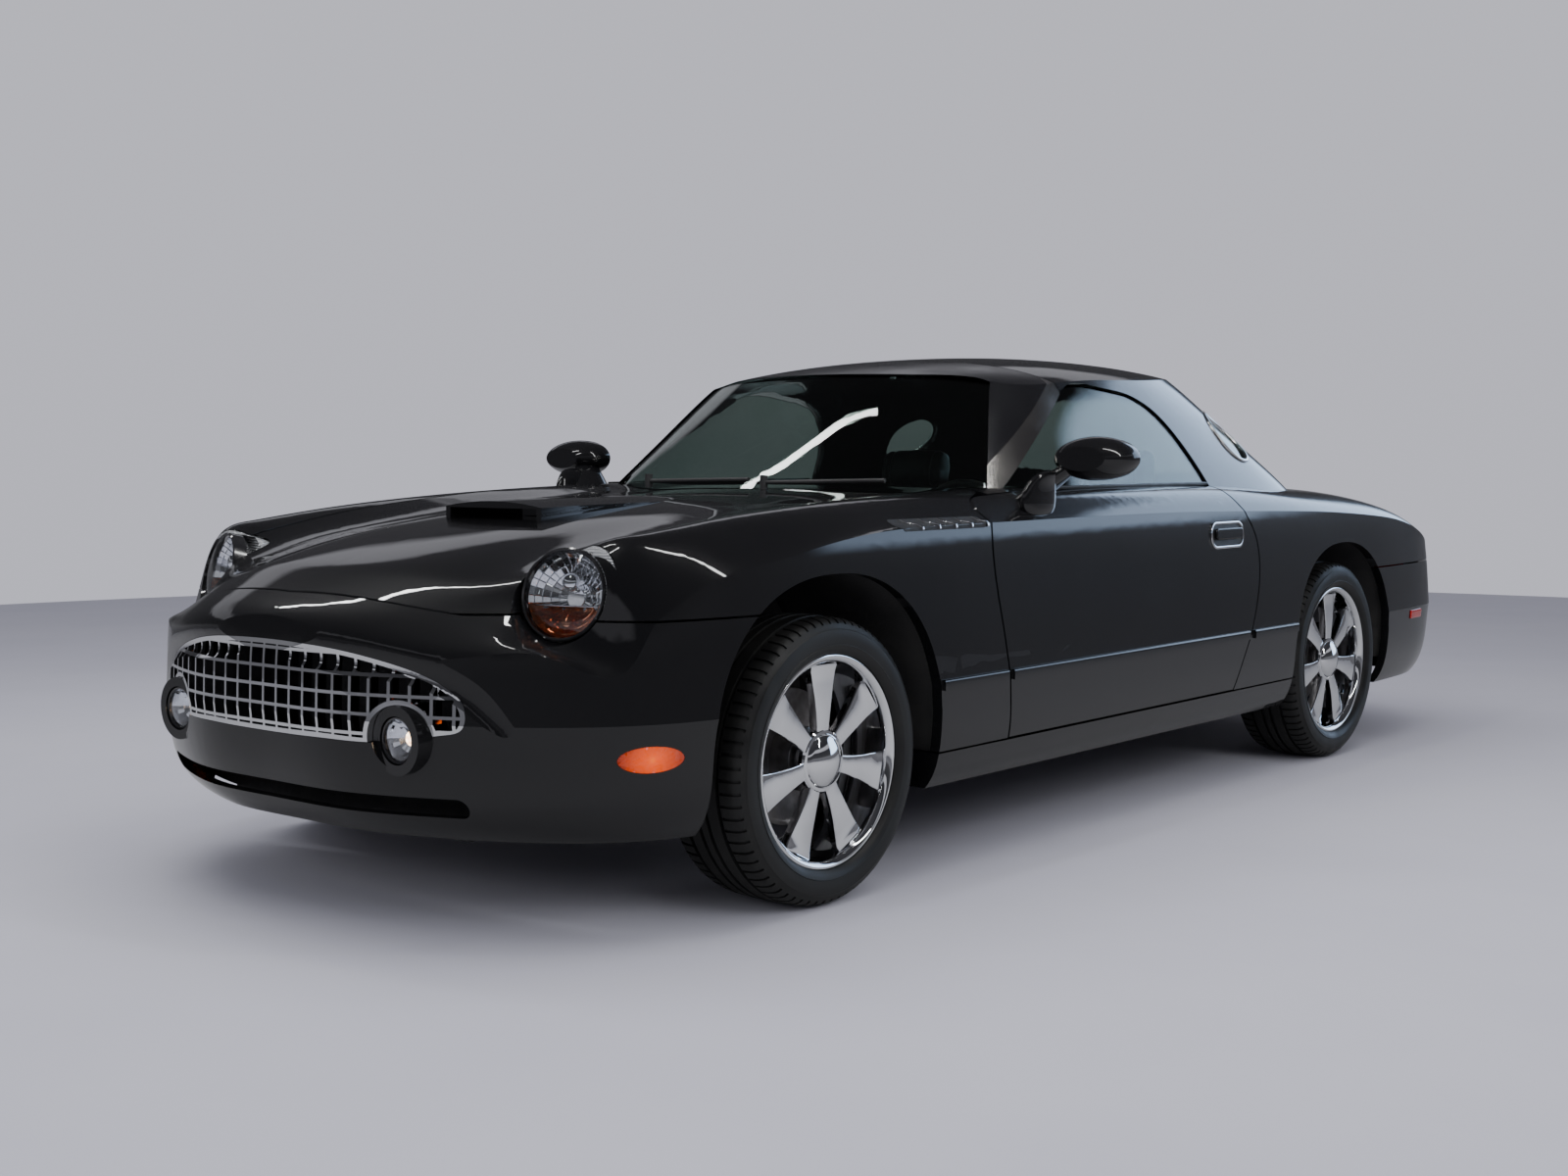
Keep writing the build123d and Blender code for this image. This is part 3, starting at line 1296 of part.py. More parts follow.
def make_rim(axle):
    """Barrel, seven broad spokes, hub and brake disc of a left wheel."""
    half = RIM_W / 2
    with BuildPart() as rim:
        with BuildSketch(Plane.XY):
            with BuildLine():
                Polyline((-half, RIM_R), (-half, RIM_R - 26), (-half + 14, BARREL_R), (half - 30, BARREL_R),
                         (half - 8, RIM_R - 18), (half, RIM_R - 12), (half, RIM_R), close=True)
            make_face()
        revolve(axis=Axis.X)
        with BuildSketch(Plane.XY):
            with BuildLine():
                Polyline((SPOKE_X - 44, 0), (SPOKE_X - 8, 0), (SPOKE_X, HUB_R), (SPOKE_X + 6, BARREL_R + 6),
                         (SPOKE_X - 16, BARREL_R + 6), (SPOKE_X - 24, HUB_R), (SPOKE_X - 44, HUB_R - 8), close=True)
            make_face()
        revolve(axis=Axis.X)
        with BuildSketch(side_plane(0)):
            with PolarLocations(0, SPOKES, start_angle=90 / SPOKES):
                add(wheel_window())
        extrude(amount=RIM_W, mode=Mode.SUBTRACT)
        with BuildSketch(side_plane(DISC_X - WHEEL_X)):
            Circle(DISC_R)
        extrude(amount=-DISC_W)
        with BuildSketch(side_plane(DISC_X - WHEEL_X)):
            Circle(HUB_R)
        extrude(amount=SPOKE_X - 30 - (DISC_X - WHEEL_X))
        with BuildSketch(side_plane(DISC_X - WHEEL_X - 30)):
            Circle(STUB_R + 4)
        extrude(amount=STUB_END_X + 6 - (DISC_X - 30), mode=Mode.SUBTRACT)
    return rim.part.moved(Location((WHEEL_X, axle, TYRE_R)))


def left_to_right(piece):
    return mirror(piece, about=Plane.YZ)


# ---------------------------------------------------------------- build
singles = {
    "hood": make_hood, "front_bumper": make_front_bumper, "grille": make_grille,
    "rear_bumper": make_rear_bumper, "decklid": make_decklid, "rear_deck": make_rear_deck,
    "cowl": make_cowl, "sills": make_sills, "windscreen_frame": make_windscreen_frame,
    "windscreen": make_windscreen, "hardtop": make_hardtop, "hardtop_glass": make_hardtop_glass,
    "headlamps": make_headlamps, "bumper_lamps": make_bumper_lamps, "tail_lamps": make_tail_lamps,
    "floor": make_floor, "bulkheads": make_bulkheads, "trunk_floor": make_trunk_floor,
    "wheelhouses": make_wheelhouses, "engine": make_engine, "front_subframe": make_front_subframe,
    "rear_subframe": make_rear_subframe, "exhaust": make_exhaust, "dashboard": make_dashboard,
    "console": make_console, "steering_wheel": make_steering_wheel,
    "steering_column": make_steering_column, "wipers": make_wipers,
}
for name, make in singles.items():
    publish(make(), name)

pairs = {
    "front_fender": make_front_fender, "rear_quarter": make_rear_quarter, "door": make_door,
    "side_glass": make_side_glass, "mirror": make_mirror, "seat": make_seat, "knuckle": make_knuckle,
}
for name, make in pairs.items():
    left = make()
    publish(left, name + "_left")
    publish(left_to_right(left), name + "_right")

for place, axle in (("front", FRONT_AXLE), ("rear", REAR_AXLE)):
    rim = make_rim(axle)
    publish(rim, f"rim_{place}_left")
    publish(left_to_right(rim), f"rim_{place}_right")
    publish(make_tyre(1, axle), f"tyre_{place}_left")
    publish(make_tyre(-1, axle), f"tyre_{place}_right")
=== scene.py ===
# %% [markdown]
# # A two-seat roadster with its hard top on
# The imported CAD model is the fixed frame: it holds the body panels, the glass, the cabin and the running gear
# at their true places, in metres. The car's left side is +X, its nose points along -Y and +Z is up.
# This lesson dresses that frame. It starts with the light and the finishes, and then models the pieces
# that need a maker's eye: tyres, wheels, lamps, trim, seats and what fills the cabin and the engine bay.

# %% Load the frame
import json
import math

import bmesh
import bpy
from mathutils import Euler, Matrix, Vector

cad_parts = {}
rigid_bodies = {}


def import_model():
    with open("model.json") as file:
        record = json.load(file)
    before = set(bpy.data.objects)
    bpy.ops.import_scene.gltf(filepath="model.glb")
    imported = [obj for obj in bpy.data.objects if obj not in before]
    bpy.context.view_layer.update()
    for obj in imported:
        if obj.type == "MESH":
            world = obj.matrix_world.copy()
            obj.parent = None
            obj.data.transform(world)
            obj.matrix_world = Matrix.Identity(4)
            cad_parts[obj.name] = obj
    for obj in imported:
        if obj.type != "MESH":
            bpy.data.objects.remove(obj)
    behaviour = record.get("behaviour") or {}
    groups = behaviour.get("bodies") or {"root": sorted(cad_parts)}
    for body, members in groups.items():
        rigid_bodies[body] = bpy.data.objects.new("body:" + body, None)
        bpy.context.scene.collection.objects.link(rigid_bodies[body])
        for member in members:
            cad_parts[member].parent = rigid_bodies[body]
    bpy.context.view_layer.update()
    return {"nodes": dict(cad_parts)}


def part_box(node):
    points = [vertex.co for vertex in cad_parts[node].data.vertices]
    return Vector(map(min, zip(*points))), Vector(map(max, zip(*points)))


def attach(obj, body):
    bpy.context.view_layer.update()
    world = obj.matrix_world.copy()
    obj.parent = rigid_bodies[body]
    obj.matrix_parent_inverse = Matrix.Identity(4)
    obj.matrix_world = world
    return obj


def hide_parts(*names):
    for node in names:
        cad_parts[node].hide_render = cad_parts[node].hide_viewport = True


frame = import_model()

# %% [markdown]
# ## Camera and light
# A low three-quarter view from the front left shows the grille, the long hood and the wheels together.
# A gloss black car shows what stands around it more than its own colour, so the light comes in two kinds.
# Narrow strips overhead draw thin bright lines along the hood and shoulders. Large soft boxes fill the shadows,
# but are hidden from mirror-like rays, so that they leave no grey patches in the paint.

# %% Camera
scene = bpy.context.scene
camera_data = bpy.data.cameras.new("camera")
camera_data.sensor_width = 36.0
camera_data.lens = 43.15
camera = bpy.data.objects.new("camera", camera_data)
camera.location = (3.473, -4.760, 1.022)
camera.rotation_euler = Euler((math.radians(90 - 4.09), math.radians(0.08), math.radians(39.8)))
scene.collection.objects.link(camera)
scene.camera = camera
print("camera at", tuple(round(v, 2) for v in camera.location))


# %% Soft boxes
def soft_box(name, place, target, width, height, power):
    """A rectangle of light that faces a target."""
    data = bpy.data.lights.new(name, "AREA")
    data.shape = "RECTANGLE"
    data.size = width
    data.size_y = height
    data.energy = power
    light = bpy.data.objects.new(name, data)
    light.location = place
    aim = Vector(target) - Vector(place)
    light.rotation_euler = aim.to_track_quat("-Z", "Y").to_euler()
    scene.collection.objects.link(light)
    return light


soft_box("strip_right", (-2.6, -1.6, 4.4), (-0.4, -0.8, 0.2), 0.12, 3.4, 45)
soft_box("strip_middle", (0.3, -3.2, 4.6), (0.1, -1.6, 0.2), 0.12, 2.6, 45)
soft_box("strip_left", (3.0, -0.4, 4.0), (0.3, -0.2, 0.3), 0.16, 4.6, 60)
for fill in (soft_box("fill_overhead", (-0.4, -0.6, 5.2), (0.0, -0.4, 0.0), 3.5, 6.5, 220),
             soft_box("fill_left", (5.5, -2.0, 3.0), (0.5, -0.4, 0.5), 4.0, 2.0, 150),
             soft_box("fill_front", (1.8, -7.5, 3.0), (0.2, -1.5, 0.5), 4.0, 2.0, 120)):
    fill.visible_glossy = False
    fill.visible_transmission = False

# %% [markdown]
# The eye sees a pale room, but a black car mostly mirrors what is outside the picture, and there a studio is
# dark but for its lamps. So the world has two looks: the pale backdrop for what the camera sees directly,
# and for reflections a dark room with a soft horizon glow, a bright band, and one large window with blue
# daylight behind the car on its left, which shapes the hard top, the glass and the shoulders.

# %% Node helpers
def fill_inputs(tree, made, inputs):
    """Gives each named input of a node its value, or links it to the output that feeds it."""
    for name, value in inputs.items():
        socket = made.inputs[int(name[2:]) if name.startswith("at") else name.replace("_", " ")]
        if isinstance(value, bpy.types.NodeSocket):
            tree.links.new(value, socket)
        else:
            socket.default_value = value


def node(tree, kind, settings=None, **inputs):
    """A new node with its settings and inputs; at0 and at1 are inputs by their place."""
    made = tree.nodes.new(kind)
    for name, value in (settings or {}).items():
        setattr(made, name, value)
    fill_inputs(tree, made, inputs)
    return made


def feed(material, **inputs):
    """Sets or links inputs of a material's own shader."""
    fill_inputs(material.node_tree, material.node_tree.nodes["Principled BSDF"], inputs)


# %% Surroundings
RGBA, MULTIPLY, SUBTRACT = {"data_type": "RGBA"}, {"operation": "MULTIPLY"}, {"operation": "SUBTRACT"}
world = bpy.data.worlds.new("studio")
world.use_nodes = True
sky = world.node_tree
sky_height = node(sky, "ShaderNodeSeparateXYZ", Vector=node(sky, "ShaderNodeTexCoord").outputs["Generated"])


def sky_ramp(stops):
    """Colours by height above the horizon, as (height, grey level, blue level) stops."""
    ramp = node(sky, "ShaderNodeValToRGB", Fac=sky_height.outputs["Z"])
    elements = ramp.color_ramp.elements
    for count, (height, grey, blue) in enumerate(stops):
        stop = elements[count] if count < 2 else elements.new(height)
        stop.position = height
        stop.color = (grey, grey, blue, 1)
    return ramp


seen = sky_ramp(((0.0, 0.62, 0.70), (0.6, 0.66, 0.72)))
room = sky_ramp(((0.0, 0.13, 0.145), (1.0, 0.05, 0.055), (0.05, 0.17, 0.185), (0.10, 0.05, 0.055),
                 (0.28, 0.035, 0.04), (0.31, 0.45, 0.49), (0.40, 0.45, 0.49), (0.43, 0.03, 0.035)))


def sky_span(axis, begin, end):
    """A mask that rises from 0 to 1 between two values of one axis of the direction."""
    rise = node(sky, "ShaderNodeMapRange", {"interpolation_type": "SMOOTHSTEP"}, From_Min=begin, From_Max=end,
                Value=sky_height.outputs[axis])
    return rise.outputs["Result"]


def sky_times(first, second):
    """The product of two masks."""
    return node(sky, "ShaderNodeMath", MULTIPLY, at0=first, at1=second).outputs["Value"]


window_mask = sky_times(sky_times(sky_span("Y", 0.70, 0.76), sky_span("X", -0.30, -0.20)),
                        sky_times(sky_span("Z", 0.05, 0.09), sky_span("Z", 0.52, 0.46)))
WINDOW_COLOUR = (1.7, 2.2, 3.0, 1)
mirrored = node(sky, "ShaderNodeMix", RGBA, Factor=window_mask, A=room.outputs["Color"], B=WINDOW_COLOUR)
glossy_ray = node(sky, "ShaderNodeLightPath").outputs["Is Glossy Ray"]
not_glossy = node(sky, "ShaderNodeMath", SUBTRACT, at0=1.0, at1=glossy_ray)
sky_choice = node(sky, "ShaderNodeMix", RGBA, Factor=not_glossy.outputs["Value"], A=mirrored.outputs["Result"],
                  B=seen.outputs["Color"])
sky.links.new(sky_choice.outputs["Result"], sky.nodes["Background"].inputs["Color"])
scene.world = world

FLOOR_R = 9.0
bpy.ops.object.select_all(action="DESELECT")
bpy.ops.mesh.primitive_circle_add(vertices=128, radius=FLOOR_R, fill_type="NGON", location=(0, 0, -0.0005))
floor = bpy.context.object
floor.name = "studio_floor"

# %% [markdown]
# A studio lays dark cloth beside a black car, so that its lower body mirrors the cloth and not the pale
# floor. This flag, a dark grey disc, does the same: only mirror-like rays meet it, so the floor still looks
# pale.

# %% Black flag
flag = bpy.data.objects.new("black_flag", floor.data.copy())
flag.location = (0, 0, 0.0003)
scene.collection.objects.link(flag)
flag.data.materials.clear()
flag_look = bpy.data.materials.new("black_cloth")
flag_look.use_nodes = True
feed(flag_look, Base_Color=(0.27, 0.27, 0.28, 1), Roughness=0.9)
flag.data.materials.append(flag_look)
flag.visible_camera = flag.visible_diffuse = flag.visible_shadow = flag.visible_transmission = False
print("floor and flag radius:", FLOOR_R)

# %% [markdown]
# ## Shared finishes
# Real finishes are never one even value: paint has a faint film of dust, castings are mottled, rubber is
# greyer where it is touched. One node group gives each of them a slow change of colour and roughness over
# the piece, and a second adds the fine grain that a mould or a hide leaves. The shaders stay in the materials.


# %% Node group: slow variation
def group_input(group, kind, name, value):
    socket = group.interface.new_socket(name=name, in_out="INPUT", socket_type=kind)
    socket.default_value = value
    return socket


def make_variation_group():
    """Two colours and two roughnesses, mixed by slow noise in the piece's own space."""
    group = bpy.data.node_groups.new("slow_variation", "ShaderNodeTree")
    group_input(group, "NodeSocketFloat", "Scale", 4.0)
    group_input(group, "NodeSocketColor", "Color A", (0.5, 0.5, 0.5, 1))
    group_input(group, "NodeSocketColor", "Color B", (0.4, 0.4, 0.4, 1))
    group_input(group, "NodeSocketFloat", "Rough A", 0.3)
    group_input(group, "NodeSocketFloat", "Rough B", 0.5)
    group.interface.new_socket(name="Color", in_out="OUTPUT", socket_type="NodeSocketColor")
    group.interface.new_socket(name="Roughness", in_out="OUTPUT", socket_type="NodeSocketFloat")
    into, out = node(group, "NodeGroupInput").outputs, node(group, "NodeGroupOutput")
    coords = node(group, "ShaderNodeTexCoord")
    noise = node(group, "ShaderNodeTexNoise", Vector=coords.outputs["Object"], Scale=into["Scale"], Detail=5.0)
    spread = node(group, "ShaderNodeMapRange", Value=noise.outputs["Fac"], From_Min=0.35, From_Max=0.65)
    share = spread.outputs["Result"]
    colour = node(group, "ShaderNodeMix", RGBA, Factor=share, A=into["Color A"], B=into["Color B"])
    rough = node(group, "ShaderNodeMix", Factor=share, A=into["Rough A"], B=into["Rough B"])
    fill_inputs(group, out, {"Color": colour.outputs["Result"], "Roughness": rough.outputs["Result"]})
    return group


# %% Node group: grain height
def make_grain_group():
    """A pebbled height: small rounded cells with creases, and finer noise over them."""
    group = bpy.data.node_groups.new("pebble_grain", "ShaderNodeTree")
    group_input(group, "NodeSocketFloat", "Cell Scale", 300.0)
    group_input(group, "NodeSocketFloat", "Noise Share", 0.4)
    group.interface.new_socket(name="Height", in_out="OUTPUT", socket_type="NodeSocketFloat")
    into, out = node(group, "NodeGroupInput").outputs, node(group, "NodeGroupOutput")
    where = node(group, "ShaderNodeTexCoord").outputs["Object"]
    cells = node(group, "ShaderNodeTexVoronoi", {"feature": "SMOOTH_F1"}, Vector=where,
                 Scale=into["Cell Scale"])
    noise = node(group, "ShaderNodeTexNoise", Vector=where, Scale=into["Cell Scale"])
    blend = node(group, "ShaderNodeMix", Factor=into["Noise Share"], A=cells.outputs["Distance"],
                 B=noise.outputs["Fac"])
    fill_inputs(group, out, {"Height": blend.outputs["Result"]})
    return group


variation_group = make_variation_group()
grain_group = make_grain_group()
print("node groups:", [g.name for g in bpy.data.node_groups])


# %% Finish builder
def finish(name, colours, rough, scale=4.0, grain=None, bump=0.0, **sockets):
    """A material with slow variation, an optional grain bump and constants on the shader itself."""
    material = bpy.data.materials.new(name)
    material.use_nodes = True
    tree = material.node_tree
    slow = node(tree, "ShaderNodeGroup", {"node_tree": variation_group}, Scale=scale, Color_A=(*colours[0], 1),
                Color_B=(*colours[1], 1), Rough_A=rough[0], Rough_B=rough[1])
    feed(material, Base_Color=slow.outputs["Color"], Roughness=slow.outputs["Roughness"], **sockets)
    if grain:
        pebbles = node(tree, "ShaderNodeGroup", {"node_tree": grain_group}, Cell_Scale=grain)
        relief = node(tree, "ShaderNodeBump", Strength=1.0, Distance=bump, Height=pebbles.outputs["Height"])
        feed(material, Normal=relief.outputs["Normal"])
    return material


# %% [markdown]
# ## The car's own finishes
# The paint is a solid black under clear coat: almost no colour of its own, a soft base and a hard mirror
# coat on top. Chrome is a metal with very little blur. The window glass is green in its depth, so the
# tint comes from its base colour. Plastics and leather differ by the size of their grain.

# %% Materials
paint = finish("black_paint", ((0.0035, 0.0035, 0.004), (0.005, 0.005, 0.0055)), (0.30, 0.38), 1.5,
               Coat_Weight=1.0, Coat_Roughness=0.01, Specular_IOR_Level=0.05)
chrome = finish("bright_chrome", ((0.88, 0.89, 0.91), (0.80, 0.81, 0.83)), (0.03, 0.07), 9.0, Metallic=1.0)
bright_trim = finish("bright_trim", ((0.62, 0.60, 0.57), (0.55, 0.53, 0.50)), (0.14, 0.22), 7.0, Metallic=1.0)

PILLAR_BASE, PILLAR_TOP, PILLAR_STRIP = (-0.565, 0.915), (-0.105, 1.196), 0.044
pillar_run = math.dist(PILLAR_BASE, PILLAR_TOP)
across = ((PILLAR_BASE[1] - PILLAR_TOP[1]) / pillar_run, (PILLAR_TOP[0] - PILLAR_BASE[0]) / pillar_run)
pillar = bright_trim.node_tree
pillar_colour = pillar.nodes["Principled BSDF"].inputs["Base Color"].links[0].from_socket
pillar_dot = node(pillar, "ShaderNodeVectorMath", {"operation": "DOT_PRODUCT"},
                  at0=node(pillar, "ShaderNodeTexCoord").outputs["Object"], at1=(0, across[0], across[1]))
pillar_edge = node(pillar, "ShaderNodeMath", {"operation": "LESS_THAN"}, at0=pillar_dot.outputs["Value"],
                   at1=across[0] * PILLAR_BASE[0] + across[1] * PILLAR_BASE[1] + PILLAR_STRIP)
pillar_mix = node(pillar, "ShaderNodeMix", RGBA, Factor=pillar_edge.outputs["Value"],
                  A=(0.006, 0.006, 0.007, 1), B=pillar_colour)
feed(bright_trim, Base_Color=pillar_mix.outputs["Result"], Metallic=pillar_edge.outputs["Value"])
window_glass = finish("green_glass", ((0.66, 0.77, 0.72), (0.60, 0.73, 0.67)), (0.0, 0.01), 3.0,
                      Transmission_Weight=1.0, IOR=1.45)
lens_glass = finish("lamp_glass", ((0.97, 0.98, 0.99), (0.92, 0.94, 0.95)), (0.0, 0.03), 20.0,
                    Transmission_Weight=1.0, IOR=1.4)
amber_glass = finish("amber_lens", ((0.30, 0.022, 0.001), (0.22, 0.014, 0.001)), (0.06, 0.14), 25.0,
                     Transmission_Weight=0.35, IOR=1.49, Coat_Weight=0.6)
red_glass = finish("red_lens", ((0.50, 0.006, 0.004), (0.38, 0.003, 0.003)), (0.06, 0.12), 25.0,
                   Transmission_Weight=0.25, IOR=1.49, Coat_Weight=0.8)
rubber = finish("tyre_rubber", ((0.006, 0.006, 0.006), (0.011, 0.011, 0.0105)), (0.40, 0.55), 14.0,
                grain=900.0, bump=0.0001, Specular_IOR_Level=0.35)
seal_rubber = finish("seal_rubber", ((0.008, 0.008, 0.008), (0.014, 0.014, 0.014)), (0.35, 0.5), 20.0)
underseal = finish("underseal", ((0.018, 0.018, 0.018), (0.035, 0.034, 0.032)), (0.65, 0.85), 6.0,
                   grain=160.0, bump=0.0008)
cast_alloy = finish("cast_alloy", ((0.42, 0.42, 0.43), (0.30, 0.30, 0.31)), (0.35, 0.55), 12.0,
                    grain=380.0, bump=0.0003, Metallic=0.9)
brake_iron = finish("brake_iron", ((0.26, 0.25, 0.25), (0.15, 0.14, 0.135)), (0.30, 0.45), 22.0, Metallic=0.9)
stainless = finish("exhaust_steel", ((0.50, 0.47, 0.43), (0.36, 0.33, 0.30)), (0.18, 0.34), 8.0, Metallic=1.0)
black_plastic = finish("black_plastic", ((0.018, 0.018, 0.019), (0.026, 0.026, 0.027)), (0.42, 0.55), 10.0,
                       grain=700.0, bump=0.00015)
leather = finish("black_leather", ((0.016, 0.015, 0.015), (0.028, 0.027, 0.026)), (0.38, 0.52), 9.0,
                 grain=420.0, bump=0.0004, Sheen_Weight=0.1)
carpet = finish("black_carpet", ((0.010, 0.010, 0.010), (0.022, 0.022, 0.022)), (0.9, 1.0), 30.0,
                grain=800.0, bump=0.002, Sheen_Weight=0.4)
mesh_black = finish("mesh_black", ((0.006, 0.006, 0.007), (0.014, 0.014, 0.015)), (0.45, 0.6), 60.0,
                    grain=520.0, bump=0.003)
floor_finish = finish("pale_floor", ((0.38, 0.38, 0.43), (0.34, 0.34, 0.39)), (0.6, 0.8), 0.5,
                      Specular_IOR_Level=0.2)
floor.data.materials.append(floor_finish)
print("materials:", len(bpy.data.materials))

# %% Finishes for the carried-over nodes
node_finish = {
    "hood": paint, "front_bumper": paint, "rear_bumper": paint, "decklid": paint, "rear_deck": paint,
    "cowl": paint, "sills": paint, "windscreen_frame": bright_trim, "hardtop": paint, "front_fender": paint,
    "rear_quarter": paint, "door": paint, "mirror": paint,
    "grille": chrome, "rim": chrome, "windscreen": window_glass, "hardtop_glass": window_glass,
    "side_glass": window_glass, "headlamps": lens_glass, "bumper_lamps": amber_glass, "tail_lamps": red_glass,
    "floor": carpet, "bulkheads": underseal, "trunk_floor": carpet, "wheelhouses": underseal,
    "front_subframe": underseal, "rear_subframe": underseal, "engine": cast_alloy,
    "exhaust": stainless, "dashboard": black_plastic, "console": black_plastic, "wipers": black_plastic,
    "steering_column": black_plastic, "steering_wheel": leather, "seat": leather, "knuckle": cast_alloy,
    "tyre": rubber,
}


def finish_for(node_name):
    """The finish of the longest key that the node's name starts with."""
    keys = [key for key in node_finish if node_name.startswith(key)]
    return node_finish[max(keys, key=len)]


for node_name, node_object in frame["nodes"].items():
    for place in node_object.material_slots:
        place.material = finish_for(node_name)
print("finished nodes:", len(frame["nodes"]))

# %% [markdown]
# ## Working by hand in code
# Nearly every new piece starts as a primitive at its place, is opened for editing, and is then extruded,
# inset, scaled and bevelled. A window is not needed: faces and edges are selected by where they are or
# which way they face, and the operators do the rest. These few helpers keep each later cell short.


# %% Modelling helpers
def start(add, name, **settings):
    """Adds a primitive at its size and place and opens it for editing, all of it selected."""
    bpy.ops.object.select_all(action="DESELECT")
    add(**settings)
    piece = bpy.context.object
    piece.name = name
    piece.data.name = name
    bpy.ops.object.transform_apply(location=True, rotation=True, scale=True)
    bpy.ops.object.mode_set(mode="EDIT")
    bpy.ops.mesh.select_mode(type="VERT")
    bpy.ops.mesh.select_all(action="SELECT")
    return piece


def pick(kind, test):
    """Selects the vertices, edges or faces whose centre and normal pass a test."""
    bpy.ops.mesh.select_mode(type=kind)
    bpy.ops.mesh.select_all(action="DESELECT")
    mesh = bmesh.from_edit_mesh(bpy.context.object.data)
    chosen = 0
    for item in {"VERT": mesh.verts, "EDGE": mesh.edges, "FACE": mesh.faces}[kind]:
        if kind == "FACE":
            wanted = test(item.calc_center_median(), item.normal)
        elif kind == "EDGE":
            ends = [v.co for v in item.verts]
            wanted = test((ends[0] + ends[1]) / 2, ends[1] - ends[0])
        else:
            wanted = test(item.co, item.normal)
        if wanted:
            item.select_set(True)
            chosen += 1
    bmesh.update_edit_mesh(bpy.context.object.data)
    return chosen


def middle():
    """Centre of what is selected."""
    mesh = bmesh.from_edit_mesh(bpy.context.object.data)
    places = [v.co for v in mesh.verts if v.select]
    return sum(places, Vector()) / len(places)


def grow(move, scale=(1, 1, 1)):
    """Extrudes the selection by a move and scales its new end about its own centre."""
    bpy.ops.mesh.extrude_region_move(TRANSFORM_OT_translate={"value": move})
    if tuple(scale) != (1, 1, 1):
        bpy.ops.transform.resize(value=scale, center_override=middle())


def close(piece, smooth=35.0, bevel=0.0, segments=2, rounds=0):
    """Leaves edit mode, points the faces outwards, then bevels, subdivides and shades the piece."""
    if bpy.context.mode == "EDIT_MESH":
        bpy.ops.mesh.select_all(action="SELECT")
        bpy.ops.mesh.remove_doubles(threshold=0.00002)
        bpy.ops.mesh.normals_make_consistent(inside=False)
        bpy.ops.object.mode_set(mode="OBJECT")
    bpy.ops.object.select_all(action="DESELECT")
    piece.select_set(True)
    bpy.context.view_layer.objects.active = piece
    if bevel:
        edge = piece.modifiers.new("bevel", "BEVEL")
        edge.width = bevel
        edge.segments = segments
        edge.limit_method = "ANGLE"
        edge.angle_limit = math.radians(35)
        bpy.ops.object.modifier_apply(modifier="bevel")
    if rounds:
        soft = piece.modifiers.new("rounding", "SUBSURF")
        soft.levels = soft.render_levels = rounds
        bpy.ops.object.modifier_apply(modifier="rounding")
    bpy.ops.object.shade_smooth_by_angle(angle=math.radians(smooth))
    return piece


def lathe(name, profile, centre, axis, radial, steps=96, loop=True):
    """Draws a profile of (along, out) points vertex by vertex and spins it round an axis."""
    centre, axis, radial = Vector(centre), Vector(axis).normalized(), Vector(radial).normalized()
    places = [centre + axis * along + radial * out for along, out in profile]
    piece = start(bpy.ops.mesh.primitive_plane_add, name, size=0.002, location=places[0])
    bpy.ops.mesh.merge(type="CENTER")
    for before, after in zip(places, places[1:]):
        bpy.ops.mesh.extrude_vertices_move(TRANSFORM_OT_translate={"value": after - before})
    if loop:
        ends = (places[0], places[-1])
        pick("VERT", lambda at, _: min((at - e).length for e in ends) < 1e-6)
        bpy.ops.mesh.edge_face_add()
    bpy.ops.mesh.select_all(action="SELECT")
    bpy.ops.mesh.spin(steps=steps, angle=2 * math.pi, center=centre, axis=axis)
    bpy.ops.mesh.select_all(action="SELECT")
    bpy.ops.mesh.remove_doubles(threshold=0.00002)
    return piece


def copied(piece, name, *changes):
    """A copy with its own mesh, moved by matrices; a mirror among them turns its faces back out."""
    twin = piece.copy()
    twin.data = piece.data.copy()
    twin.name = name
    twin.data.name = name
    scene.collection.objects.link(twin)
    for change in changes:
        twin.data.transform(change)
        if change.determinant() < 0:
            twin.data.flip_normals()
    return twin


def joined(name, parts):
    """Joins parts into one piece."""
    bpy.ops.object.select_all(action="DESELECT")
    for part in parts:
        part.select_set(True)
    bpy.context.view_layer.objects.active = parts[0]
    bpy.ops.object.join()
    parts[0].name = name
    parts[0].data.name = name
    return parts[0]


def dress(piece, material, body, slot, *nodes):
    """Gives a piece its finish, the body it rides on and the nodes it stands for; the slot is not used."""
    if not piece.data.materials:
        piece.data.materials.append(material)
    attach(piece, body)
    if nodes:
        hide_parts(*nodes)
    return piece


ORIGIN, X_AXIS, Y_AXIS, Z_AXIS = (0, 0, 0), (1, 0, 0), (0, 1, 0), (0, 0, 1)
MIRROR_X = Matrix.Scale(-1, 4, X_AXIS)
SIDES = (("left", Matrix.Identity(4)), ("right", MIRROR_X))
print("helpers ready")

# %% [markdown]
# ## Tyres
# A road tyre is a turned shape, so its section is drawn once and spun round the axle: four grooves round
# the tread, round shoulders and a sidewall with two fine ribs. The tread blocks come from narrow strips of
# faces that are pushed in across the shoulders, where a real mould leaves its cross cuts.

# %% Tyre
AXLE_X = 0.768
TYRE_R = 0.330
front_low, front_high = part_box("tyre_front_left")
rear_low, rear_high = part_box("tyre_rear_left")
front_hub = Vector((AXLE_X, (front_low.y + front_high.y) / 2, TYRE_R))
rear_hub = Vector((AXLE_X, (rear_low.y + rear_high.y) / 2, TYRE_R))

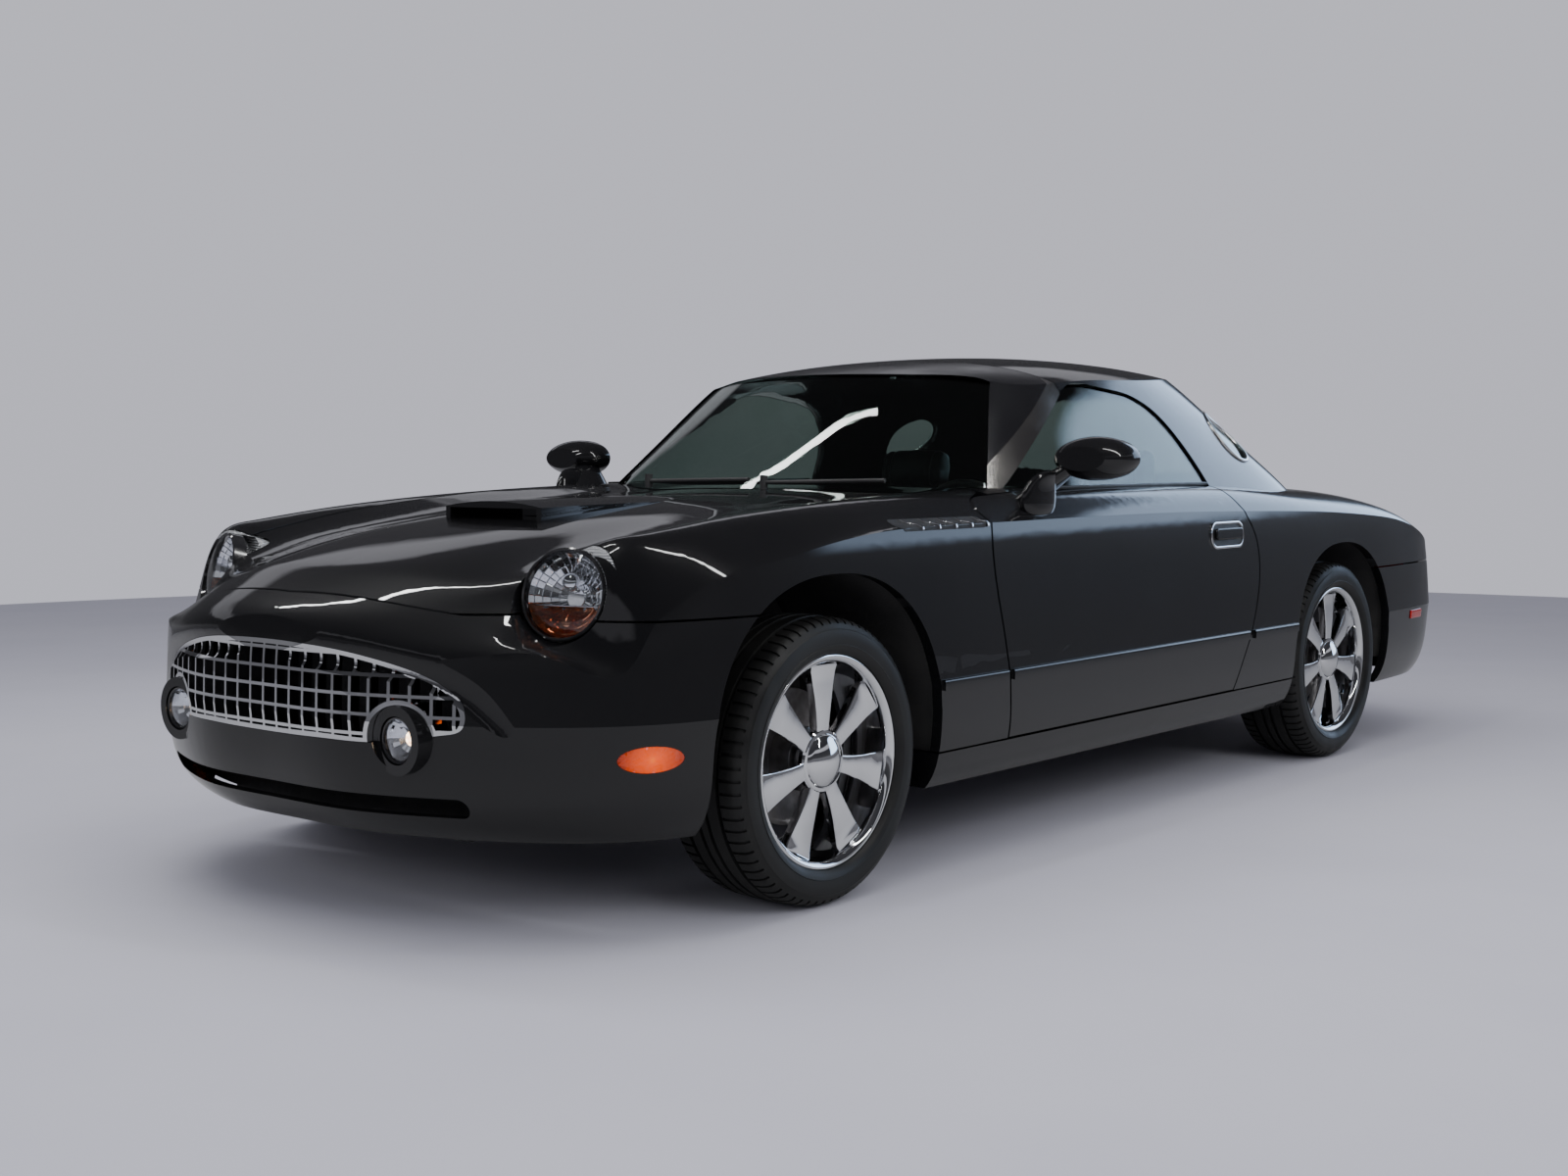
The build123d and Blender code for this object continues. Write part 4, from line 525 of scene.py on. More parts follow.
half_tread = [
    (0.0000, 0.3290), (0.0090, 0.3289), (0.0100, 0.3210), (0.0180, 0.3210), (0.0190, 0.3287),
    (0.0480, 0.3277), (0.0490, 0.3200), (0.0570, 0.3198), (0.0580, 0.3272), (0.0760, 0.3262),
    (0.0900, 0.3238), (0.1000, 0.3195), (0.1070, 0.3120), (0.1115, 0.3030), (0.1130, 0.3010),
    (0.1150, 0.2990), (0.1168, 0.2890), (0.1170, 0.2780), (0.1160, 0.2660), (0.1175, 0.2645),
    (0.1170, 0.2625), (0.1150, 0.2560), (0.1110, 0.2490), (0.1050, 0.2440), (0.0960, 0.2430), (0.0930, 0.2300),
]
section = [(-along, out) for along, out in reversed(half_tread[1:])] + half_tread
STRIPS, CUT_EACH, CUT_DEPTH = 288, 4, 0.005
SHOULDER_IN, SHOULDER_OUT, TREAD_IN = 0.0585, 0.107, 0.30
tyre = lathe("tyre", section, front_hub, X_AXIS, Z_AXIS, steps=STRIPS)


def is_cross_cut(at, _):
    """True on each fourth strip of the shoulder blocks."""
    side = abs(at.x - front_hub.x)
    turn = math.atan2(at.z - front_hub.z, at.y - front_hub.y)
    strip = int(round(turn / (2 * math.pi) * STRIPS - 0.5))
    tread = math.hypot(at.z - front_hub.z, at.y - front_hub.y) > TREAD_IN
    return tread and SHOULDER_IN < side < SHOULDER_OUT and strip % CUT_EACH == 0


cuts = pick("FACE", is_cross_cut)
bpy.ops.mesh.extrude_region_move()
bpy.ops.transform.shrink_fatten(value=-CUT_DEPTH)
close(tyre, smooth=28)
print("tyre cuts:", cuts, "polygons:", len(tyre.data.polygons))

# %% [markdown]
# ## Chrome wheels
# The wheel is a deep chrome dish with seven broad spokes that flare towards the rim. One spoke is grown from
# a small block at the hub: its outer end is extruded and widened step by step, then the edges are
# rounded so that they catch a thin line of light. It and six copies of it join a rim and a hub that are spun
# round the axle. The centre cap is a low cone, left bare.

# %% Wheel
rim_profile = [
    (0.0980, 0.2430), (0.1035, 0.2422), (0.1050, 0.2395), (0.1035, 0.2350), (0.1000, 0.2300),
    (0.0950, 0.2262), (0.0900, 0.2245), (0.0800, 0.2230), (0.0400, 0.2130), (-0.0800, 0.2100),
    (-0.0960, 0.2180), (-0.1000, 0.2360), (-0.0940, 0.2368), (-0.0850, 0.2260), (-0.0700, 0.2200),
    (0.0600, 0.2290), (0.0860, 0.2330), (0.0940, 0.2430),
]
barrel = lathe("barrel", rim_profile, front_hub, X_AXIS, Z_AXIS, steps=96)
close(barrel, smooth=50)

hub_profile = [
    (0.0560, 0.0), (0.0560, 0.0660), (0.0700, 0.0740), (0.0800, 0.0735), (0.0850, 0.0690), (0.0860, 0.0620),
    (0.0880, 0.0610), (0.0900, 0.0600), (0.0960, 0.0540), (0.1060, 0.0280), (0.1090, 0.0130), (0.1100, 0.0),
]
hub = lathe("hub", hub_profile, front_hub, X_AXIS, Z_AXIS, steps=72, loop=False)
close(hub, smooth=24)

SPOKE_ROOT_Z = 0.060
spoke = start(bpy.ops.mesh.primitive_cube_add, "spoke", size=1,
              location=front_hub + Vector((0.068, 0, SPOKE_ROOT_Z)), scale=(0.030, 0.042, 0.012))
pick("FACE", lambda at, normal: normal.z > 0.9)
for rise, depth, widen in ((0.016, 0.001, 1.05), (0.030, 0.001, 1.16), (0.034, 0.000, 1.22),
                           (0.032, -0.001, 1.22), (0.026, 0.000, 1.17), (0.016, 0.004, 1.07)):
    grow((depth, 0, rise), (1, widen, 1))
pick("EDGE", lambda at, along: abs(along.z) > 0.9 * along.length and at.x < front_hub.x + 0.06)
bpy.ops.transform.resize(value=(1, 0.72, 1), center_override=front_hub + Vector((0, 0, 0.1)))
close(spoke, smooth=30, bevel=0.0042, segments=3)
spokes = [spoke]
SPOKES = 7
for turn in range(1, SPOKES):
    spin = Matrix.Rotation(2 * math.pi * turn / SPOKES, 4, "X")
    around = Matrix.Translation(front_hub) @ spin @ Matrix.Translation(-front_hub)
    spokes.append(copied(spoke, f"spoke_{turn}", around))
wheel = joined("wheel", [barrel, hub] + spokes)
print("wheel polygons:", len(wheel.data.polygons))

# %% [markdown]
# Behind the spokes sits the brake disc. It is plain cast iron with a raised hat in its middle, so it is a
# piece of its own with its own finish.

# %% Brake disc
disc_profile = [
    (-0.040, 0.072), (-0.018, 0.074), (-0.016, 0.100), (-0.016, 0.157), (-0.022, 0.158), (-0.022, 0.152),
    (-0.034, 0.152), (-0.034, 0.158), (-0.041, 0.157), (-0.041, 0.100), (-0.046, 0.074),
]
disc = lathe("brake_disc", disc_profile, front_hub, X_AXIS, Z_AXIS, steps=72)
close(disc, smooth=30)
hat = start(bpy.ops.mesh.primitive_cylinder_add, "disc_hat", vertices=48, radius=0.074, depth=0.060,
            location=front_hub + Vector((0.012, 0, 0)), rotation=(0, math.pi / 2, 0))
pick("FACE", lambda at, normal: normal.x > 0.9)
bpy.ops.mesh.inset(thickness=0.020)
grow((0.008, 0, 0), (1, 0.9, 0.9))
close(hat, smooth=30, bevel=0.002)
disc = joined("brake_disc", [disc, hat])

# %% Four wheels
hubs = {"front": front_hub, "rear": rear_hub}
for model, finish_material, slot, stands_for in (
    (tyre, rubber, "tyre_rubber", "tyre"), (wheel, chrome, "chrome", "rim"),
    (disc, brake_iron, "engine_metal", None),
):
    for axle, hub_place in hubs.items():
        for side, flip in SIDES:
            body = f"wheel_{axle}_{side}"
            shift = Matrix.Translation(hub_place - front_hub)
            piece = copied(model, f"{model.name}_made_{axle}_{side}", shift, flip)
            nodes = [f"{stands_for}_{axle}_{side}"] if stands_for else []
            dress(piece, finish_material, body, slot, *nodes)
    bpy.data.objects.remove(model)

# %% [markdown]
# ## Headlamps
# Each lamp is a round reflector in a dark ring, set nearly upright in its hollow, with a ribbed grey lens
# that sweeps back over the fender. The real reflector is a patchwork of small mirrors, so the bowl keeps
# its facets: its faces are inset one by one and pushed forward a little. Its lower third is coloured amber
# for the turn signal, under a thin shelf. All but the ribbed lens, which is taken from the frame's own node, is
# built round the Z axis and then placed along the beam.

# %% Where the left headlamp sits
LAMP_CENTRE = Vector((0.619, -2.054, 0.730))
toe, tilt = math.radians(17), math.radians(13)
beam = Vector((math.sin(toe) * math.cos(tilt), -math.cos(toe) * math.cos(tilt), math.sin(tilt)))
lamp_x = Vector((math.cos(toe), math.sin(toe), 0))
lamp_y = beam.cross(lamp_x)
lamp_place = Matrix.Translation(LAMP_CENTRE) @ Matrix((lamp_x, lamp_y, beam)).transposed().to_4x4()

# %% Lamp finishes
amber_mirror = finish("amber_mirror", ((0.80, 0.36, 0.20), (0.68, 0.26, 0.12)), (0.08, 0.20), 40.0,
                      Metallic=0.9)
mirror_metal = finish("lamp_mirror", ((0.90, 0.91, 0.92), (0.80, 0.81, 0.83)), (0.05, 0.12), 40.0, Metallic=1.0)
gloss_black = finish("gloss_black", ((0.008, 0.008, 0.009), (0.013, 0.013, 0.014)), (0.08, 0.16), 30.0,
                     Coat_Weight=0.6)
ribbed_glass = finish("ribbed_lens", ((0.36, 0.37, 0.38), (0.28, 0.29, 0.30)), (0.18, 0.28), 30.0,
                      Metallic=0.2, Transmission_Weight=0.2, Coat_Weight=0.4)
ribs = ribbed_glass.node_tree
rib_wave = node(ribs, "ShaderNodeTexWave", {"bands_direction": "Z"}, Scale=52.0,
                Vector=node(ribs, "ShaderNodeTexCoord").outputs["Object"])
rib_bump = node(ribs, "ShaderNodeBump", Distance=0.004, Height=rib_wave.outputs["Fac"])
feed(ribbed_glass, Normal=rib_bump.outputs["Normal"])


# %% Ring, reflector, shelf, bulb cap and cover
def close_lathe(name, profile, steps, smooth, loop=False):
    return close(lathe(name, profile, ORIGIN, Z_AXIS, X_AXIS, steps, loop), smooth=smooth)


ring = close_lathe("lamp_ring", [(-0.030, 0.0995), (0.0010, 0.0995), (0.0040, 0.0965), (0.0030, 0.0930),
                                 (-0.0060, 0.0895), (-0.030, 0.0890)], 72, 30, True)
cup = close_lathe("lamp_cup", [(-0.030, 0.0990), (-0.061, 0.0700), (-0.061, 0.0)], 48, 30)
bowl = lathe("lamp_bowl", [(-0.010, 0.0890), (-0.022, 0.0800), (-0.034, 0.0680), (-0.044, 0.0540),
                           (-0.052, 0.0380), (-0.057, 0.0200), (-0.058, 0.0)],
             ORIGIN, Z_AXIS, X_AXIS, 30, False)
pick("FACE", lambda at, _: Vector((at.x, at.y)).length > 0.02)
bpy.ops.mesh.inset(thickness=0.0012, use_individual=True)
bpy.ops.transform.shrink_fatten(value=-0.0022)
close(bowl, smooth=5)
bowl.data.materials.append(mirror_metal)
bowl.data.materials.append(amber_mirror)
SHELF_Y = -0.022
for face in bowl.data.polygons:
    face.material_index = 1 if face.center.y < SHELF_Y else 0
shelf = start(bpy.ops.mesh.primitive_cube_add, "lamp_shelf", size=1, location=(0, SHELF_Y, -0.030),
              scale=(0.150, 0.003, 0.034))
pick("EDGE", lambda at, along: abs(along.y) > 0.002 and at.z < -0.03)
bpy.ops.transform.resize(value=(0.6, 1, 1), center_override=(0, SHELF_Y, -0.047))
close(shelf, bevel=0.001)
bulb = close_lathe("lamp_bulb", [(-0.057, 0.020), (-0.030, 0.020), (-0.022, 0.0185), (-0.015, 0.012),
                                 (-0.013, 0.0)], 36, 40)
bulb.data.transform(Matrix.Translation((0, 0.030, 0)))
signal = copied(bulb, "lamp_signal", Matrix.Translation((0, -0.083, -0.004)) @ Matrix.Scale(0.8, 4))
cover = close_lathe("lamp_cover", [(0.0005, 0.0950), (0.0060, 0.0860), (0.0120, 0.0690), (0.0170, 0.0450),
                                   (0.0195, 0.0200), (0.0200, 0.0), (0.0180, 0.0), (0.0175, 0.0200),
                                   (0.0150, 0.0450), (0.0100, 0.0680), (0.0040, 0.0850), (-0.0015, 0.0940)],
                    64, 60, True)
lamp_parts = ((ring, gloss_black, "trim_black"), (cup, gloss_black, "trim_black"),
              (bowl, mirror_metal, "chrome"), (shelf, mirror_metal, "chrome"), (bulb, mirror_metal, "chrome"),
              (signal, amber_mirror, "chrome"), (cover, lens_glass, "lamp_glass"))
for model, look, slot in lamp_parts:
    for side, flip in SIDES:
        piece = copied(model, f"{model.name}_{side}", lamp_place, flip)
        dress(piece, look, "chassis", slot, *(["headlamps"] if model is cover else []))
    bpy.data.objects.remove(model)
print("headlamp pieces:", 2 * len(lamp_parts))


# %% Parts taken from a node
def part_of_node(node_name, name, test):
    """A merged copy of a node's mesh that keeps each solid with a vertex that passes a test."""
    bpy.ops.object.select_all(action="DESELECT")
    piece = bpy.data.objects.new(name, frame["nodes"][node_name].data.copy())
    piece.data.name = name
    piece.data.materials.clear()
    scene.collection.objects.link(piece)
    piece.select_set(True)
    bpy.context.view_layer.objects.active = piece
    bpy.ops.object.mode_set(mode="EDIT")
    bpy.ops.mesh.select_all(action="SELECT")
    bpy.ops.mesh.remove_doubles(threshold=0.00002)
    pick("VERT", lambda at, _: test(at))
    bpy.ops.mesh.select_linked(delimit=set())
    bpy.ops.mesh.select_all(action="INVERT")
    bpy.ops.mesh.delete(type="VERT")
    bpy.ops.object.mode_set(mode="OBJECT")
    bpy.ops.object.shade_smooth_by_angle(angle=math.radians(30))
    return piece


def from_axis(at):
    """Distance of a point from the beam of the lamp on its own side."""
    offset = Vector((abs(at.x), at.y, at.z)) - LAMP_CENTRE
    return (offset - beam * offset.dot(beam)).length


sweep = part_of_node("headlamps", "lamp_sweep", lambda at: from_axis(at) > 0.104)
dress(sweep, ribbed_glass, "chassis", "lamp_glass")
print("ribbed lens polygons:", len(sweep.data.polygons))

# %% [markdown]
# ## Bumper lamps
# The two round fog lamps are lit and look warm. A reflector with a bright centre gives the glow, and a
# domed clear cover closes it. The amber lamps at the corners are solid lenses that glow about their bulb; a
# fine cell pattern in their relief stands for the prisms behind the smooth front.

# %% Fog lamps
FOG_X, FOG_Z, FOG_Y = 0.398, 0.432, -2.3135
fog_place = Matrix.Translation((FOG_X, FOG_Y, FOG_Z)) @ Matrix.Rotation(math.pi / 2, 4, "X")
glow = finish("fog_glow", ((1.0, 0.80, 0.55), (1.0, 0.62, 0.35)), (0.2, 0.3), 60.0)
glow_tree = glow.node_tree
glow_cells = node(glow_tree, "ShaderNodeTexVoronoi", Scale=130.0,
                  Vector=node(glow_tree, "ShaderNodeTexCoord").outputs["Object"])
glow_ramp = node(glow_tree, "ShaderNodeValToRGB", Fac=glow_cells.outputs["Distance"])
glow_ramp.color_ramp.elements[0].color = (1.0, 0.85, 0.62, 1)
glow_ramp.color_ramp.elements[1].color = (0.55, 0.25, 0.10, 1)
feed(glow, Emission_Color=glow_ramp.outputs["Color"], Emission_Strength=9.0)

fog_ring = close_lathe("fog_ring", [(-0.030, 0.0500), (0.0020, 0.0500), (0.0050, 0.0480), (0.0040, 0.0450),
                                    (-0.004, 0.0440), (-0.030, 0.0435)], 60, 30, True)
fog_bowl = lathe("fog_bowl", [(-0.004, 0.0440), (-0.014, 0.0380), (-0.024, 0.0270), (-0.030, 0.0140),
                              (-0.030, 0.0)], ORIGIN, Z_AXIS, X_AXIS, 24, False)
pick("FACE", lambda at, _: Vector((at.x, at.y)).length > 0.012)
bpy.ops.mesh.inset(thickness=0.0008, use_individual=True)
close(fog_bowl, smooth=5)
fog_bowl.data.materials.append(mirror_metal)
fog_bowl.data.materials.append(glow)
for face in fog_bowl.data.polygons:
    face.material_index = 1 if face.center.xy.length < 0.020 else 0
fog_cover = close_lathe("fog_cover", [(0.0, 0.0445), (0.0040, 0.0400), (0.0080, 0.0280), (0.0100, 0.0120),
                                      (0.0105, 0.0), (0.0085, 0.0), (0.0080, 0.0120), (0.0060, 0.0270),
                                      (0.0020, 0.0390), (-0.0020, 0.0440)], 48, 60, True)
fog_back = close_lathe("fog_back", [(-0.030, 0.0495), (-0.034, 0.0495), (-0.036, 0.0)], 36, 30)
for model, look, slot in ((fog_ring, gloss_black, "trim_black"), (fog_bowl, mirror_metal, "chrome"),
                          (fog_cover, lens_glass, "lamp_glass"), (fog_back, gloss_black, "trim_black")):
    for side, flip in SIDES:
        piece = copied(model, f"{model.name}_{side}", fog_place, flip)
        dress(piece, look, "chassis", slot, *(["bumper_lamps"] if model is fog_cover else []))
    bpy.data.objects.remove(model)

# %% Amber corner lamps
corner = part_of_node("bumper_lamps", "corner_lamps", lambda at: abs(at.x) > 0.6)
left_points = [point.co for point in corner.data.vertices if point.co.x > 0]
corner_middle = [(min(values) + max(values)) / 2 for values in zip(*left_points)]
corner_tree = amber_glass.node_tree
corner_at = node(corner_tree, "ShaderNodeTexCoord").outputs["Object"]
corner_cells = node(corner_tree, "ShaderNodeTexVoronoi", Scale=110.0, Vector=corner_at)
corner_bump = node(corner_tree, "ShaderNodeBump", Distance=0.003, Height=corner_cells.outputs["Distance"])
one_side = node(corner_tree, "ShaderNodeVectorMath", {"operation": "ABSOLUTE"}, at0=corner_at)
bulb_distance = node(corner_tree, "ShaderNodeVectorMath", {"operation": "DISTANCE"},
                     at0=one_side.outputs["Vector"], at1=[abs(value) for value in corner_middle])
bulb_ramp = node(corner_tree, "ShaderNodeValToRGB", Fac=bulb_distance.outputs["Value"])
bulb_colours = bulb_ramp.color_ramp.elements
bulb_colours[0].color = (1.0, 0.50, 0.08, 1)
bulb_colours[1].position = 0.075
bulb_colours[1].color = (0.06, 0.003, 0.0, 1)
bulb_colours.new(0.014).color = (0.50, 0.06, 0.002, 1)
feed(amber_glass, Normal=corner_bump.outputs["Normal"], Emission_Color=bulb_ramp.outputs["Color"],
     Emission_Strength=1.6)
dress(corner, amber_glass, "chassis", "lamp_glass")
print("corner lamp polygons:", len(corner.data.polygons))

# %% [markdown]
# ## Small trim on curved panels
# Handles, vents, lamp rings and the plate lie on curved panels. Each is shaped flat and then wrapped: a
# Shrinkwrap modifier projects it along X or Y on to the panel, and it gets its thickness after that, so it
# follows the curve at an even distance.


# %% Wrapping helper
def wrap(piece, node_name, gap, thickness, bevel=0.0, smooth=35.0, axis="X", side=-1):
    """Projects a flat piece on to a node along an axis, then gives it a thickness along its own normals."""
    bpy.ops.mesh.select_all(action="SELECT")
    bpy.ops.mesh.normals_make_consistent(inside=False)
    bpy.ops.object.mode_set(mode="OBJECT")
    press = piece.modifiers.new("press", "SHRINKWRAP")
    press.target = frame["nodes"][node_name]
    press.wrap_method = "PROJECT"
    press.use_project_x = axis == "X"
    press.use_project_y = axis == "Y"
    press.use_project_z = axis == "Z"
    press.use_negative_direction = side < 0
    press.use_positive_direction = side > 0
    press.offset = gap
    bpy.ops.object.modifier_apply(modifier="press")
    wall = piece.modifiers.new("wall", "SOLIDIFY")
    wall.thickness = thickness
    wall.offset = 1.0
    bpy.ops.object.modifier_apply(modifier="wall")
    bpy.ops.object.mode_set(mode="EDIT")
    return close(piece, smooth=smooth, bevel=bevel)


BESIDE_X = 0.98


def flat_grid(name, y, z, length, height, across, along):
    """A flat grid of faces in side view, beside the car."""
    start(bpy.ops.mesh.primitive_grid_add, name, x_subdivisions=across, y_subdivisions=along, size=1,
          location=(BESIDE_X, y, z), rotation=(0, math.pi / 2, 0))
    bpy.ops.transform.resize(value=(1, length, height), center_override=(BESIDE_X, y, z))
    return bpy.context.object


def pair(piece, look, body, slot, *nodes):
    """Dresses a left piece and its mirrored twin on the right."""
    stem = piece.name.replace("_left", "")
    twin = copied(piece, stem + "_right", MIRROR_X)
    piece.name = stem + "_left"
    dress(piece, look, body + "_left" if body.startswith("door") else body, slot, *nodes)
    dress(twin, look, body + "_right" if body.startswith("door") else body, slot,
          *[n.replace("left", "right") for n in nodes])
    return piece, twin


# %% [markdown]
# The door handle is a chrome ring with round corners about a dark cup, with a gloss black flap across it. The
# ring is a rectangle with bevelled corners, inset, with its inner field deleted. The cup and the flap are
# smaller fields of the same kind.

# %% Door handles
HANDLE_Y, HANDLE_Z, HANDLE_L, HANDLE_H = 0.397, 0.778, 0.208, 0.080


def round_field(name, y, z, length, height, corner, rings, ring_width):
    """A filled rectangle with round corners in side view, with concentric rings of faces."""
    start(bpy.ops.mesh.primitive_plane_add, name, size=1, location=(BESIDE_X, y, z),
          rotation=(0, math.pi / 2, 0))
    bpy.ops.transform.resize(value=(1, length, height), center_override=(BESIDE_X, y, z))
    bpy.ops.mesh.bevel(offset=corner, segments=7, affect="VERTICES")
    bpy.ops.mesh.select_mode(type="FACE")
    bpy.ops.mesh.select_all(action="SELECT")
    for _ in range(rings):
        bpy.ops.mesh.inset(thickness=ring_width)
    return bpy.context.object


handle = round_field("handle_frame", HANDLE_Y, HANDLE_Z, HANDLE_L, HANDLE_H, 0.034, 1, 0.008)
bpy.ops.mesh.delete(type="FACE")
wrap(handle, "door_left", 0.0, 0.0055, bevel=0.0016)
pair(handle, chrome, "door", "chrome")
cup_field = round_field("handle_cup", HANDLE_Y, HANDLE_Z, HANDLE_L - 0.014, HANDLE_H - 0.014, 0.028, 2, 0.010)
wrap(cup_field, "door_left", 0.0002, 0.0008)
pair(cup_field, seal_rubber, "door", "trim_black")
flap = round_field("handle_flap", HANDLE_Y + 0.004, HANDLE_Z + 0.004, HANDLE_L - 0.040, 0.034, 0.012, 2, 0.005)
wrap(flap, "door_left", 0.004, 0.0080, bevel=0.003)
pair(flap, paint, "door", "body_paint")

# %% [markdown]
# Behind each front wheel, high on the fender, a black field with round corners stands for the vent's slot and
# carries five slanted chrome bars. Each bar is a flat strip whose lower end is slid back and its upper end
# forward before it is wrapped, so that it sits square on its own bit of the curve.

# %% Fender vents
VENT_Y, VENT_END_Y, VENT_Z, VENT_H = -1.222, -0.882, 0.853, 0.026
BAR_W, BAR_SLANT, BARS = 0.007, 0.026, 5
slot_bed = round_field("vent_bed", (VENT_Y + VENT_END_Y) / 2, VENT_Z, VENT_END_Y - VENT_Y, VENT_H,
                       0.011, 2, 0.004)
VENT_CUTS = 16
for cut in range(1, VENT_CUTS):
    cut_y = VENT_Y + cut * (VENT_END_Y - VENT_Y) / VENT_CUTS
    bpy.ops.mesh.select_all(action="SELECT")
    bpy.ops.mesh.bisect(plane_co=(BESIDE_X, cut_y, VENT_Z), plane_no=(0, 1, 0))
wrap(slot_bed, "front_fender_left", 0.0003, 0.0010)
pair(slot_bed, mesh_black, "chassis", "trim_black")
bars = []
for count in range(BARS):
    along = VENT_Y + (count + 0.9) * (VENT_END_Y - VENT_Y) / BARS
    bar = flat_grid(f"bar_{count}", along, VENT_Z, BAR_W, VENT_H - 0.003, 8, 2)
    pick("VERT", lambda at, _: at.z < VENT_Z)
    bpy.ops.transform.translate(value=(0, BAR_SLANT / 2, 0))
    pick("VERT", lambda at, _: at.z > VENT_Z + 0.001)
    bpy.ops.transform.translate(value=(0, -BAR_SLANT / 2, 0))
    bars.append(wrap(bar, "front_fender_left", 0.0008, 0.0035, bevel=0.001))
pair(joined("vent_bars", bars), chrome, "chassis", "chrome")
print("vent bars:", len(bars))

# %% [markdown]
# The round window in each side of the hard top has a bright ring. A ring of small round section is laid
# about the window's own axis, and each of its points is then moved along that axis to follow the roof.

# %% Porthole rings
PORT_CENTRE, PORT_R, PORT_LEAN = Vector((0.640, 0.885, 1.075)), 0.100, math.radians(26)
port_axis = Vector((math.cos(PORT_LEAN), 0, math.sin(PORT_LEAN)))
port_ring = start(bpy.ops.mesh.primitive_torus_add, "porthole_ring", major_radius=PORT_R + 0.001,
                  minor_radius=0.0065, major_segments=72, minor_segments=12,
                  location=PORT_CENTRE, rotation=(0, math.pi / 2 - PORT_LEAN, 0))


def sink_to_roof(piece, node_name, reach):
    """Moves each ring vertex along the window's axis on to the roof's skin."""
    bpy.ops.object.mode_set(mode="OBJECT")
    target = frame["nodes"][node_name]
    for vertex in piece.data.vertices:
        flat = vertex.co - PORT_CENTRE
        lift = flat.dot(port_axis)
        radial = flat - port_axis * lift
        foot = PORT_CENTRE + radial.normalized() * (PORT_R + reach)
        found, at, _, _ = target.ray_cast(foot + port_axis * 0.3, -port_axis)
        if found:
            vertex.co += port_axis * (at - foot).dot(port_axis)
    bpy.ops.object.mode_set(mode="EDIT")


sink_to_roof(port_ring, "hardtop", 0.008)
close(port_ring, smooth=60)
pair(port_ring, chrome, "chassis", "chrome")

# %% [markdown]
# ## Seats
# Each seat is foam under leather: a cushion and a back with raised bolsters, and a headrest above the back.
# A block is swept from its side profile, given its bolsters, remeshed evenly and blown up a little as cloth
# under pressure with a cap on how far it may move, so that it swells like stuffed leather. The sewn lines are
# pressed in after that. A low plastic base carries the seat on the floor.

# %% Padding
SEAT_X, SEAT_HALF = 0.400, 0.232
SEAM_X = 0.125
VOXEL, SWELL = 0.010, 0.008


def padded_block(name, profile, half_width, bolster):
    """A pad from a side profile of (y, z) points, swept across the seat with raised bolsters."""
    pad = start(bpy.ops.mesh.primitive_plane_add, name, size=0.002,
                location=(SEAT_X - half_width, profile[0][0], profile[0][1]))
    bpy.ops.mesh.merge(type="CENTER")
    for (y0, z0), (y1, z1) in zip(profile, profile[1:]):
        bpy.ops.mesh.extrude_vertices_move(TRANSFORM_OT_translate={"value": (0, y1 - y0, z1 - z0)})
    bpy.ops.mesh.select_all(action="SELECT")
    bpy.ops.mesh.edge_face_add()
    steps = 12
    for _ in range(steps):
        bpy.ops.mesh.extrude_region_move(TRANSFORM_OT_translate={"value": (2 * half_width / steps, 0, 0)})
    bpy.ops.mesh.select_all(action="SELECT")
    bpy.ops.mesh.normals_make_consistent(inside=False)
    for _ in range(2):
        bpy.ops.mesh.subdivide(number_cuts=1)
    bpy.ops.object.mode_set(mode="OBJECT")
    centre_y = sum(y for y, _ in profile) / len(profile)
    centre_z = sum(z for _, z in profile) / len(profile)
    for vertex in pad.data.vertices:
        across = abs(vertex.co.x - SEAT_X) / half_width
        rim = max(0.0, across - 0.55) / 0.45
        lift = bolster * math.sin(min(1.0, rim * 1.4) * math.pi / 2)
        pull = 1.0 - 0.16 * rim ** 3
        vertex.co.y = centre_y + (vertex.co.y - centre_y) * pull
        vertex.co.z = centre_z + (vertex.co.z - centre_z) * pull
        vertex.co += lift * PAD_UP[name]
    return pad


def inflate(pad):
    """Remeshes the pad, blows it up under a cap, applies the result and smooths it once."""
    bpy.ops.object.select_all(action="DESELECT")
    pad.select_set(True)
    bpy.context.view_layer.objects.active = pad
    even = pad.modifiers.new("even", "REMESH")
    even.mode = "VOXEL"
    even.voxel_size = VOXEL
    bpy.ops.object.modifier_apply(modifier="even")
    relax = pad.modifiers.new("relax", "SMOOTH")
    relax.iterations = 6
    bpy.ops.object.modifier_apply(modifier="relax")
    rest = [vertex.co.copy() for vertex in pad.data.vertices]
    cloth = pad.modifiers.new("cloth", "CLOTH")
    cloth.settings.use_pressure = True
    cloth.settings.uniform_pressure_force = 4.0
    cloth.settings.effector_weights.gravity = 0.0
    for count in range(1, 21):
        scene.frame_set(count)
    bpy.ops.object.modifier_apply(modifier="cloth")
    scene.frame_set(1)
    for vertex, before in zip(pad.data.vertices, rest):
        move = vertex.co - before
        if move.length > SWELL:
            vertex.co = before + move * (SWELL / move.length)
    rounds = pad.modifiers.new("rounds", "SUBSURF")
    rounds.levels = rounds.render_levels = 1
    bpy.ops.object.modifier_apply(modifier="rounds")
    bpy.ops.object.shade_smooth()
    return pad


def press_seams(pad, seams, depth=0.007, width=0.007):
    """Pushes the skin in along sewn lines; a seam is a function that gives the distance from its line."""
    normals = [vertex.normal.copy() for vertex in pad.data.vertices]
    for vertex, normal in zip(pad.data.vertices, normals):
        near = min(seam(vertex.co) for seam in seams)
        vertex.co -= normal * depth * math.exp(-(near / width) ** 2)
    return pad


